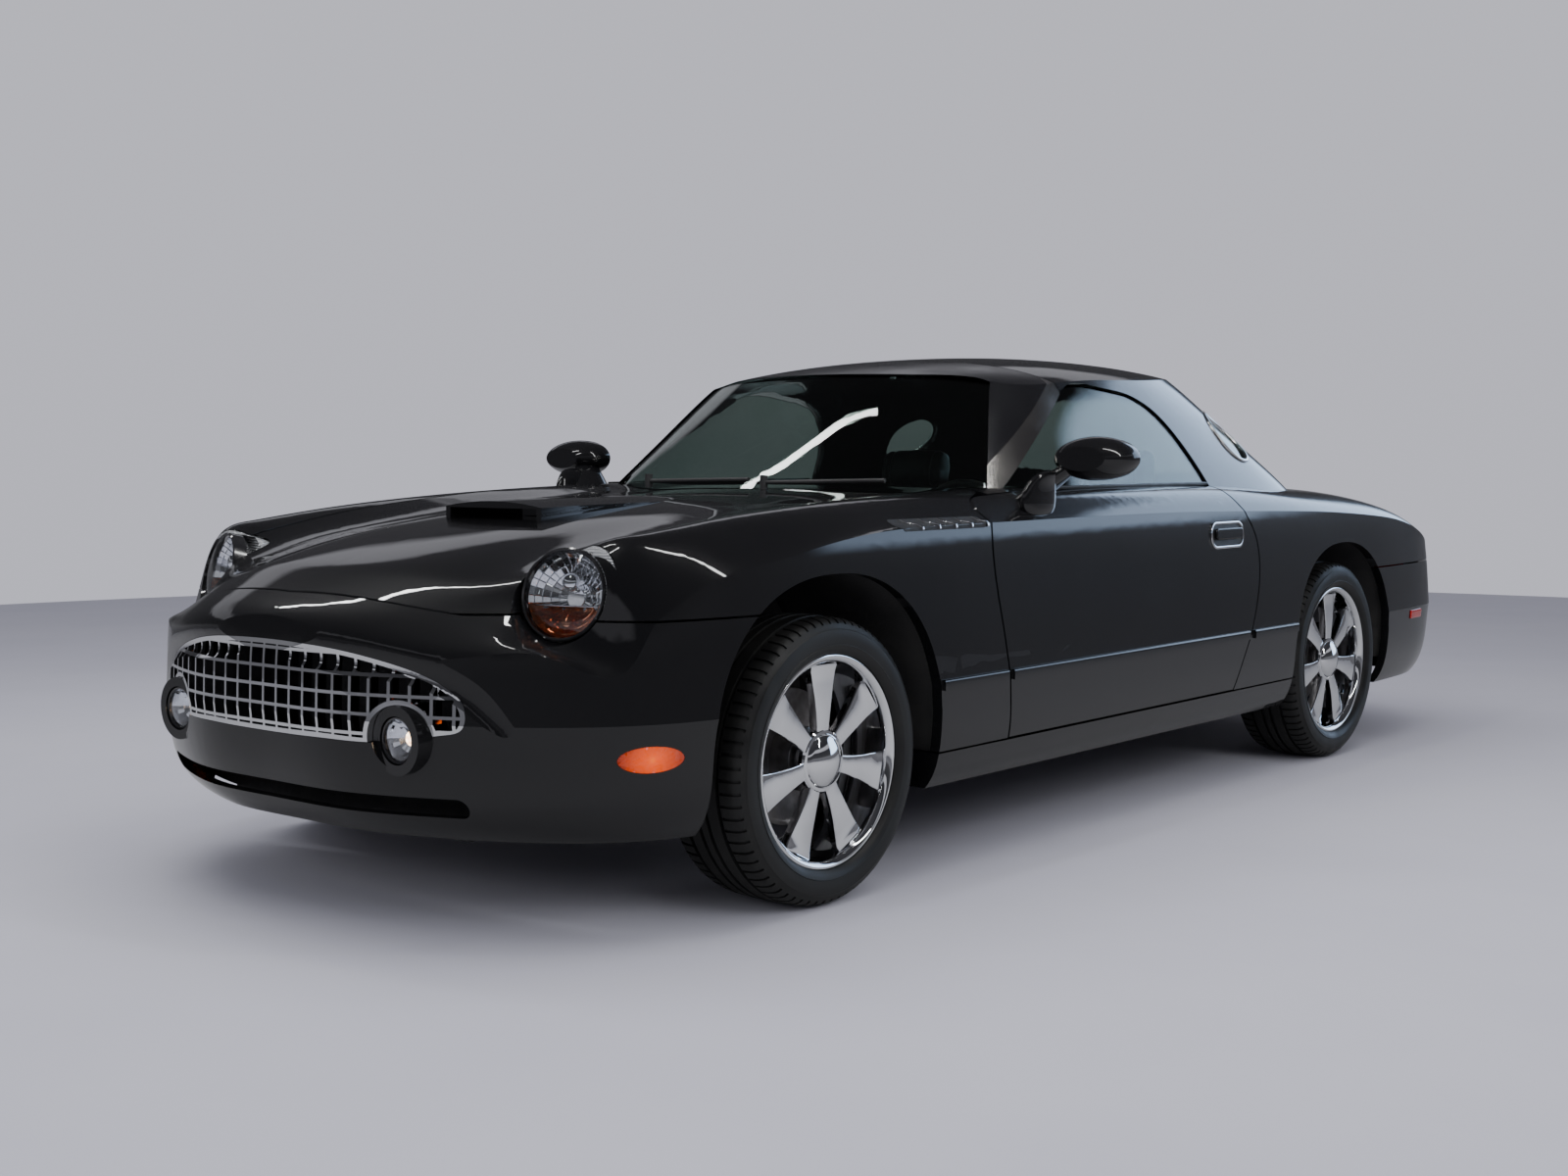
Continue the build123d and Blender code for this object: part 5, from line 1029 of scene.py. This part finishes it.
PAD_UP = {"seat_cushion": Vector((0, 0, 1)), "seat_back": Vector((0, -0.93, 0.37)),
          "seat_headrest": Vector((0, -0.4, 0.1))}
cushion_profile = [(-0.088, 0.325), (-0.090, 0.385), (-0.062, 0.412), (0.150, 0.395), (0.380, 0.372),
                   (0.400, 0.300), (0.380, 0.262), (-0.040, 0.290)]
back_profile = [(0.378, 0.400), (0.372, 0.440), (0.452, 0.640), (0.512, 0.800), (0.562, 0.900), (0.640, 0.885),
                (0.632, 0.800), (0.572, 0.560), (0.505, 0.372), (0.440, 0.360)]
head_profile = [(0.560, 0.906), (0.560, 0.960), (0.572, 1.010), (0.604, 1.036), (0.640, 1.024), (0.655, 0.980),
                (0.650, 0.906)]
LEAN = math.radians(21)
back_up = Vector((0, math.sin(LEAN), math.cos(LEAN)))


def flute(base, up, first, spacing, count):
    """Distance from the nearest of several sewn lines across the middle panel."""
    def distance(at):
        if abs(at.x - SEAT_X) > SEAM_X:
            return 1.0
        height = (at - base).dot(up)
        return min(abs(height - first - spacing * n) for n in range(count))
    return distance


def side_seam(at):
    return abs(abs(at.x - SEAT_X) - SEAM_X)


cushion = inflate(padded_block("seat_cushion", cushion_profile, SEAT_HALF - 0.010, 0.016))
press_seams(cushion, [side_seam, flute(Vector((0, 0, 0)), Vector((0, 1, 0)), 0.02, 0.062, 6)])
back = inflate(padded_block("seat_back", back_profile, SEAT_HALF - 0.012, 0.020))
press_seams(back, [side_seam, flute(Vector((0, 0.37, 0.40)), back_up, 0.10, 0.066, 6)])
headrest = inflate(padded_block("seat_headrest", head_profile, 0.122, 0.0))
press_seams(headrest, [lambda at: abs(abs(at.x - SEAT_X) - 0.085)])
base = start(bpy.ops.mesh.primitive_cube_add, "seat_base", size=1, location=(SEAT_X, 0.190, 0.262),
             scale=(0.420, 0.500, 0.044))
pick("FACE", lambda at, normal: normal.z > 0.9)
bpy.ops.mesh.inset(thickness=0.02)
grow((0, 0, 0.020), (0.94, 0.94, 1))
close(base, bevel=0.006)
for model, look, slot, nodes, fill in (
    (cushion, leather, "seat_leather", ["seat"], 0.8), (back, leather, "seat_leather", [], 0.8),
    (headrest, leather, "seat_leather", [], 0.9), (base, black_plastic, "trim_black", [], None),
):
    for side, flip in SIDES:
        piece = copied(model, f"{model.name}_{side}", flip)
        dress(piece, look, "chassis", slot, *[f"{node}_{side}" for node in nodes])
    bpy.data.objects.remove(model)

# %% [markdown]
# ## Cabin details
# The dash has a hooded cluster in front of the driver, round air outlets with a bright ring, and a centre
# stack. The wheel's hub gets a padded boss. They are dark pieces seen through glass, so their outlines and
# edges matter more than their faces.

# %% Cluster hood and dash trim
DASH_FACE_Y = -0.300
hood_piece = start(bpy.ops.mesh.primitive_cube_add, "cluster_hood", size=1, location=(0.385, -0.385, 0.872),
                   scale=(0.340, 0.200, 0.060))
pick("EDGE", lambda at, along: abs(along.y) > 0.05 and at.z > 0.88)
bpy.ops.mesh.bevel(offset=0.050, segments=6)
pick("FACE", lambda at, normal: normal.y > 0.9)
bpy.ops.mesh.inset(thickness=0.012)
grow((0, -0.050, 0), (0.96, 1, 0.92))
pick("VERT", lambda at, _: at.y < -0.46)
bpy.ops.transform.resize(value=(0.9, 1, 0.55), center_override=(0.385, -0.48, 0.845))
close(hood_piece, bevel=0.003)
dress(hood_piece, black_plastic, "chassis", "trim_black")

dials = []
for dial_x, radius in ((0.455, 0.048), (0.320, 0.048), (0.388, 0.026)):
    dial = lathe("dial", [(-0.010, radius), (0.004, radius), (0.006, radius - 0.002), (0.004, radius - 0.004),
                          (0.000, radius - 0.005), (0.000, 0.0)], (dial_x, -0.335, 0.868), Y_AXIS, Z_AXIS,
                 steps=40, loop=False)
    dials.append(close(dial, smooth=30))
dress(joined("dash_dials", dials), gloss_black, "chassis", "trim_black")
outlets = []
for outlet_x, outlet_z in ((0.620, 0.800), (-0.620, 0.800), (0.085, 0.800), (-0.085, 0.800)):
    outlet = lathe("outlet", [(-0.006, 0.040), (0.008, 0.040), (0.010, 0.038), (0.008, 0.034), (-0.004, 0.032)],
                   (outlet_x, DASH_FACE_Y, outlet_z), Y_AXIS, Z_AXIS, steps=36)
    outlets.append(close(outlet, smooth=30))
    for slat in range(5):
        height = outlet_z - 0.022 + 0.011 * slat
        half = math.sqrt(0.034 ** 2 - (height - outlet_z) ** 2)
        bar = start(bpy.ops.mesh.primitive_cube_add, "slat", size=1, location=(outlet_x, DASH_FACE_Y, height),
                    scale=(2 * half, 0.010, 0.002))
        outlets.append(close(bar))
dress(joined("dash_outlets", outlets), chrome, "chassis", "chrome")

stack = start(bpy.ops.mesh.primitive_cube_add, "centre_stack", size=1, location=(0, -0.288, 0.650),
              scale=(0.190, 0.026, 0.170))
pick("FACE", lambda at, normal: normal.y > 0.9)
bpy.ops.mesh.inset(thickness=0.008)
grow((0, -0.004, 0))
close(stack, bevel=0.002)
dress(stack, cast_alloy, "chassis", "trim_black")
knobs = []
for knob_x, knob_z, knob_r in ((-0.060, 0.600, 0.016), (0.0, 0.600, 0.016), (0.060, 0.600, 0.016),
                               (-0.070, 0.690, 0.011), (0.070, 0.690, 0.011)):
    knob = start(bpy.ops.mesh.primitive_cylinder_add, "knob", vertices=28, radius=knob_r, depth=0.020,
                 location=(knob_x, -0.272, knob_z), rotation=(math.pi / 2, 0, 0))
    pick("FACE", lambda at, normal: normal.y > 0.9)
    bpy.ops.mesh.inset(thickness=0.003)
    grow((0, -0.0015, 0))
    knobs.append(close(knob, bevel=0.001))
dress(joined("stack_knobs", knobs), black_plastic, "chassis", "trim_black")

boss = start(bpy.ops.mesh.primitive_uv_sphere_add, "wheel_boss", segments=36, ring_count=18, radius=0.062,
             location=(0, 0, 0))
bpy.ops.transform.resize(value=(1.25, 1.0, 0.36), center_override=(0, 0, 0))
close(boss, smooth=60)
rim_lean = math.radians(24)
boss.data.transform(Matrix.Translation((0.385, -0.170, 0.770))
                    @ Matrix.Rotation(rim_lean - math.pi / 2, 4, "X"))
dress(boss, leather, "steering_wheel", "trim_black")

lever = start(bpy.ops.mesh.primitive_cylinder_add, "gear_lever", vertices=24, radius=0.008, depth=0.080,
              location=(0.020, -0.080, 0.588))
pick("FACE", lambda at, normal: normal.z > 0.9)
grow((0, 0, 0.010), (2.6, 2.6, 1))
grow((0, 0, 0.034), (1.15, 1.15, 1))
grow((0, 0, 0.010), (0.6, 0.6, 1))
close(lever, bevel=0.003)
dress(lever, black_plastic, "chassis", "trim_black")

# %% [markdown]
# The doors are trimmed inside. A flat grid is wrapped on to the door's inner wall from the cabin side. Its
# thickness goes into the wall, so its face lies in the wall's surface. An armrest stands out from the wall.
# Both ride on the door and swing with it.

# %% Door trim
def lining(name, y, z, length, height, node_name, body, look, thickness=0.006):
    """A panel wrapped on to the cabin side of a node."""
    flat_grid(name, y, z, length, height, 10, 20)
    bpy.ops.transform.translate(value=(-0.58, 0, 0))
    panel = wrap(bpy.context.object, node_name, 0.0, thickness, bevel=0.002, side=1)
    return pair(panel, look, body, "trim_black")


lining("door_lining", -0.030, 0.610, 0.960, 0.420, "door_left", "door", black_plastic)
armrest = start(bpy.ops.mesh.primitive_cube_add, "door_armrest", size=1, location=(0.790, 0.020, 0.620),
                scale=(0.050, 0.420, 0.060))
pick("VERT", lambda at, _: at.x < 0.77 and at.z < 0.6)
bpy.ops.transform.translate(value=(0.016, 0, 0.012))
close(armrest, bevel=0.012, segments=4)
pair(armrest, leather, "door", "trim_black")

# %% [markdown]
# ## Behind the openings
# Behind the chrome grille is the dark front of the radiator pack, and behind the lower slot a black duct. They
# follow the sweep of the nose. Each is a flat grid, bowed back towards its ends and given a thickness.


# %% Radiator face and duct
def bowed_panel(name, y, bow, half_width, low_z, high_z, thickness, columns=24):
    """An upright panel across the car, bowed back towards its ends."""
    panel = start(bpy.ops.mesh.primitive_grid_add, name, x_subdivisions=columns, y_subdivisions=4, size=2,
                  location=(0, y, 0), rotation=(math.pi / 2, 0, 0))
    bpy.ops.transform.resize(value=(half_width, 1, (high_z - low_z) / 2), center_override=(0, y, 0))
    bpy.ops.transform.translate(value=(0, 0, (low_z + high_z) / 2))
    for step in range(1, columns + 1):
        edge = half_width * step / columns
        pick("VERT", lambda at, _: abs(at.x) > edge - 0.002)
        bpy.ops.transform.translate(value=(0, bow * (2 * step - 1) / columns ** 2, 0))
    bpy.ops.object.mode_set(mode="OBJECT")
    wall = panel.modifiers.new("wall", "SOLIDIFY")
    wall.thickness = thickness
    bpy.ops.object.modifier_apply(modifier="wall")
    bpy.ops.object.mode_set(mode="EDIT")
    return close(panel)


radiator = bowed_panel("radiator_face", -2.175, 0.075, 0.560, 0.400, 0.625, 0.006)
dress(radiator, mesh_black, "chassis", "trim_black")
duct = bowed_panel("lower_duct", -2.230, 0.110, 0.600, 0.238, 0.372, 0.004)
dress(duct, mesh_black, "chassis", "trim_black")

# %% [markdown]
# ## Body-side step
# Between the wheels a low step runs along the side at knee height; its bevelled top edge draws a bright line.
# One flat strip per panel is wrapped on to the fender, the door and the rear quarter, so the step
# opens with the door. Its top edge is bevelled wide.

# %% Side step
STEP_Z, STEP_H = 0.470, 0.026


def reach_along(node_name, begin, end, samples=400):
    """The stretch of y over which a node's left side is met at both edges of the step."""
    met = []
    for count in range(samples + 1):
        y = begin + (end - begin) * count / samples
        rays = [frame["nodes"][node_name].ray_cast(Vector((1.2, y, STEP_Z + offset)), Vector((-1, 0, 0)))
                for offset in (-STEP_H / 2, 0, STEP_H / 2)]
        if all(hit and at.x > 0.86 for hit, at, _, _ in rays):
            met.append(y)
    return met[0] + 0.003, met[-1] - 0.003


steps = (("fender", "front_fender_left", "chassis"), ("door", "door_left", "door"),
         ("quarter", "rear_quarter_left", "chassis"))
WHEELBASE_Y = (-1.30, 1.10)
for label, node_name, body in steps:
    begin, end = reach_along(node_name, *WHEELBASE_Y)
    strip = flat_grid(f"side_step_{label}", (begin + end) / 2, STEP_Z, end - begin, STEP_H, 2, 40)
    strip = wrap(strip, node_name, -0.001, 0.008)
    bpy.ops.object.mode_set(mode="EDIT")
    pick("EDGE", lambda at, along: abs(along.y) > 0.8 * along.length and at.z > STEP_Z + 0.3 * STEP_H)
    bpy.ops.mesh.bevel(offset=0.0055, segments=3)
    close(strip, smooth=50)
    pair(strip, paint, body, "body_paint")
print("side steps:", 2 * len(steps))

# %% [markdown]
# ## Tail lamps and rear trim
# Round red lamps with a bright ring sit high on the tail, each with a clear reversing light in its middle.
# A long red reflector is set in each side of the rear bumper. The number plate is a blank plate in its frame,
# and the exhaust ends in two bright tips.

# %% Tail lamp rings
TAIL_X, TAIL_Z, TAIL_R = 0.655, 0.640, 0.088


def tail_ring(name, outer, inner, gap, thickness, look, slot, filled=False):
    """A flat ring or disc seen from behind, wrapped on to the tail lamp."""
    ring_piece = start(bpy.ops.mesh.primitive_circle_add, name, vertices=56, radius=outer, fill_type="NGON",
                       location=(TAIL_X, 2.45, TAIL_Z), rotation=(math.pi / 2, 0, 0))
    bpy.ops.mesh.select_mode(type="FACE")
    bpy.ops.mesh.select_all(action="SELECT")
    bpy.ops.mesh.inset(thickness=outer - inner)
    if not filled:
        bpy.ops.mesh.delete(type="FACE")
    wrap(ring_piece, "tail_lamps", gap, thickness, bevel=0.0012, axis="Y")
    return pair(ring_piece, look, "chassis", slot)


tail_ring("tail_bezel", TAIL_R - 0.001, TAIL_R - 0.010, 0.0002, 0.0045, chrome, "chrome")
tail_ring("tail_middle", 0.052, 0.047, 0.0002, 0.0035, chrome, "chrome")
tail_ring("tail_reverse", 0.030, 0.024, 0.0004, 0.0040, lens_glass, "lamp_glass", filled=True)

# %% Rear reflectors, plate and tips
reflector = flat_grid("rear_reflector", 1.900, 0.443, 0.120, 0.030, 3, 12)
wrap(reflector, "rear_bumper", 0.0002, 0.0040, bevel=0.0015)
pair(reflector, red_glass, "chassis", "tail_glass")

PLATE_AT = (0, 2.45, 0.500)
FRAME_W, FRAME_H = 0.162, 0.086


def behind_car(name, half_width, half_height, columns, rows):
    """A flat upright grid behind the car, ready to be wrapped on to its tail."""
    piece = start(bpy.ops.mesh.primitive_grid_add, name, x_subdivisions=columns, y_subdivisions=rows, size=2,
                  location=PLATE_AT, rotation=(math.pi / 2, 0, 0))
    bpy.ops.transform.resize(value=(half_width, 1, half_height), center_override=PLATE_AT)
    return piece


plate = behind_car("plate", 0.152, 0.076, 16, 6)
wrap(plate, "rear_bumper", 0.0002, 0.0008, axis="Y")
dress(plate, cast_alloy, "chassis", "chrome")
surround = behind_car("plate_frame", FRAME_W, FRAME_H, 16, 8)
pick("FACE", lambda at, _: abs(at.x) < FRAME_W * 14 / 16 and abs(at.z - PLATE_AT[2]) < FRAME_H * 6 / 8)
bpy.ops.mesh.delete(type="FACE")
wrap(surround, "rear_bumper", 0.0002, 0.0024, bevel=0.0008, axis="Y")
dress(surround, black_plastic, "chassis", "trim_black")

_, tip_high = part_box("exhaust")
tip_profile = [(-0.110, 0.0325), (0.000, 0.0345), (0.003, 0.0335), (0.003, 0.0320), (-0.002, 0.0305),
               (-0.080, 0.0300), (-0.110, 0.0322)]
tip = lathe("exhaust_tip", tip_profile, (0.400, tip_high.y, 0.165), Y_AXIS, Z_AXIS, steps=48)
close(tip, smooth=40)
pair(tip, stainless, "chassis", "exhaust_steel")

# %% [markdown]
# ## Mirrors and seals
# A mirror glass closes the back of each housing, and a black foot joins the stalk to the door. A rubber seal
# runs under the side glass.

# %% Mirror glass and foot
MIRROR_AT = Vector((0.962, -0.495, 1.008))
mirror_silver = finish("mirror_silver", ((0.80, 0.83, 0.85), (0.74, 0.77, 0.80)), (0.01, 0.03), 5.0,
                       Metallic=1.0)
face = start(bpy.ops.mesh.primitive_circle_add, "mirror_glass", vertices=48, radius=1, fill_type="NGON",
             location=(MIRROR_AT.x, -0.30, MIRROR_AT.z), rotation=(math.pi / 2, 0, 0))
bpy.ops.transform.resize(value=(0.082, 1, 0.044), center_override=(MIRROR_AT.x, -0.30, MIRROR_AT.z))
bpy.ops.mesh.select_mode(type="FACE")
bpy.ops.mesh.select_all(action="SELECT")
for _ in range(3):
    bpy.ops.mesh.inset(thickness=0.010)
wrap(face, "mirror_left", 0.0004, 0.0020, axis="Y")
pair(face, mirror_silver, "door", "chrome")
foot = start(bpy.ops.mesh.primitive_cube_add, "mirror_foot", size=1, location=(0.862, -0.600, 0.880),
             scale=(0.050, 0.170, 0.070))
pick("FACE", lambda at, normal: normal.z > 0.9)
grow((0.006, 0.006, 0.034), (0.9, 0.8, 1))
grow((0.020, 0.014, 0.030), (0.8, 0.6, 1))
close(foot, smooth=60, rounds=2)
pair(foot, paint, "door", "body_paint")

# %% Seals under the side glass
seal = start(bpy.ops.mesh.primitive_cube_add, "belt_seal", size=1, location=(0.783, -0.020, 0.929),
             scale=(0.014, 1.000, 0.010))
close(seal, bevel=0.003)
pair(seal, seal_rubber, "door", "trim_black")

# %% [markdown]
# ## Engine bay
# The CAD block stands for the V engine's core. On it go two ribbed covers, one over each bank, an intake
# plenum between them, a filler cap, and the belt pulleys at the front, without their belt. A radiator stands
# at the nose, and the brake booster and the battery sit against the firewall. Each is a block or a turned
# piece with bevelled edges, so that it catches light in the dark bay.

# %% Covers and plenum
ENGINE_FRONT, FIREWALL_FACE = -1.880, -0.913


def block(name, place, size, bevel=0.004, segments=2, top=None, top_rise=0.0):
    """A bevelled block; top scales its upper face after it rises by top_rise."""
    piece = start(bpy.ops.mesh.primitive_cube_add, name, size=1, location=place, scale=size)
    if top:
        pick("FACE", lambda at, normal: normal.z > 0.9)
        grow((0, 0, top_rise), top)
    return close(piece, bevel=bevel, segments=segments)


cover_parts = []
for side in (-1, 1):
    cover_parts.append(block("bank_cover", (side * 0.190, -1.415, 0.806), (0.120, 0.520, 0.016), 0.005, 3,
                             (0.82, 0.95, 1), 0.016))
    for rib in range(9):
        cover_parts.append(block("rib", (side * 0.190, -1.615 + 0.050 * rib, 0.822), (0.088, 0.008, 0.010),
                                 0.002))
covers = joined("bank_covers", cover_parts)
dress(covers, cast_alloy, "chassis", "engine_metal")
plenum_parts = [block("plenum", (0, -1.400, 0.808), (0.190, 0.480, 0.020), 0.006, 3, (0.80, 0.92, 1), 0.014)]
for runner in range(4):
    for side in (-1, 1):
        plenum_parts.append(block("runner", (side * 0.108, -1.560 + 0.105 * runner, 0.808),
                                  (0.060, 0.042, 0.018), 0.008, 3))
throat = start(bpy.ops.mesh.primitive_cylinder_add, "throat", vertices=32, radius=0.034, depth=0.110,
               location=(0, -1.690, 0.806), rotation=(math.pi / 2, 0, 0))
plenum_parts.append(close(throat, bevel=0.003))
dress(joined("intake_plenum", plenum_parts), black_plastic, "chassis", "engine_metal")
cap = start(bpy.ops.mesh.primitive_cylinder_add, "filler_cap", vertices=16, radius=0.024, depth=0.016,
            location=(0.190, -1.668, 0.812))
close(cap, bevel=0.002)
dress(cap, black_plastic, "chassis", "trim_black")

# %% Pulleys
pulley_parts = []
PULLEYS = ((0.0, 0.420, 0.075), (0.150, 0.600, 0.045), (-0.160, 0.560, 0.050), (0.0, 0.640, 0.055))
for pulley_x, pulley_z, pulley_r in PULLEYS:
    pulley_parts.append(close(lathe("pulley", [
        (0.004, 0.0), (-0.020, 0.0), (-0.020, 0.016), (-0.012, 0.020), (-0.012, pulley_r - 0.010),
        (-0.024, pulley_r - 0.004), (-0.026, pulley_r), (-0.006, pulley_r), (-0.004, pulley_r - 0.004),
        (0.004, pulley_r - 0.008)], (pulley_x, ENGINE_FRONT, pulley_z), Y_AXIS, Z_AXIS, steps=40), smooth=30))
dress(joined("pulleys", pulley_parts), brake_iron, "chassis", "engine_metal")

# %% Radiator, booster and battery
radiator_core = block("radiator_core", (0, -2.048, 0.460), (0.640, 0.044, 0.340), 0.004)
dress(radiator_core, mesh_black, "chassis", "engine_metal")
tanks = [block("tank", (side * 0.345, -2.048, 0.460), (0.050, 0.044, 0.360), 0.008, 3) for side in (-1, 1)]
dress(joined("radiator_tanks", tanks), black_plastic, "chassis", "trim_black")
booster = lathe("brake_booster", [(0.0, 0.090), (-0.030, 0.096), (-0.040, 0.110), (-0.052, 0.110),
                                  (-0.062, 0.096), (-0.095, 0.080), (-0.105, 0.050), (-0.105, 0.020),
                                  (-0.220, 0.020), (-0.224, 0.0), (0.0, 0.0)],
                (0.430, FIREWALL_FACE, 0.690), Y_AXIS, Z_AXIS, steps=56)
close(booster, smooth=30)
dress(booster, black_plastic, "chassis", "engine_metal")
bottle = block("fluid_bottle", (0.430, -1.080, 0.734), (0.052, 0.100, 0.050), 0.010, 3, (0.6, 0.6, 1), 0.014)
dress(bottle, finish("pale_plastic", ((0.62, 0.60, 0.52), (0.52, 0.50, 0.43)), (0.35, 0.5), 12.0), "chassis",
      "trim_black")
battery = joined("battery", [
    block("case", (-0.440, -1.013, 0.600), (0.240, 0.200, 0.180), 0.006, 2, (0.97, 0.96, 1), 0.012),
    block("post", (-0.360, -0.960, 0.706), (0.022, 0.022, 0.028), 0.003),
    block("post", (-0.520, -0.960, 0.706), (0.022, 0.022, 0.028), 0.003)])
dress(battery, black_plastic, "chassis", "trim_black")
print("engine bay pieces ready")
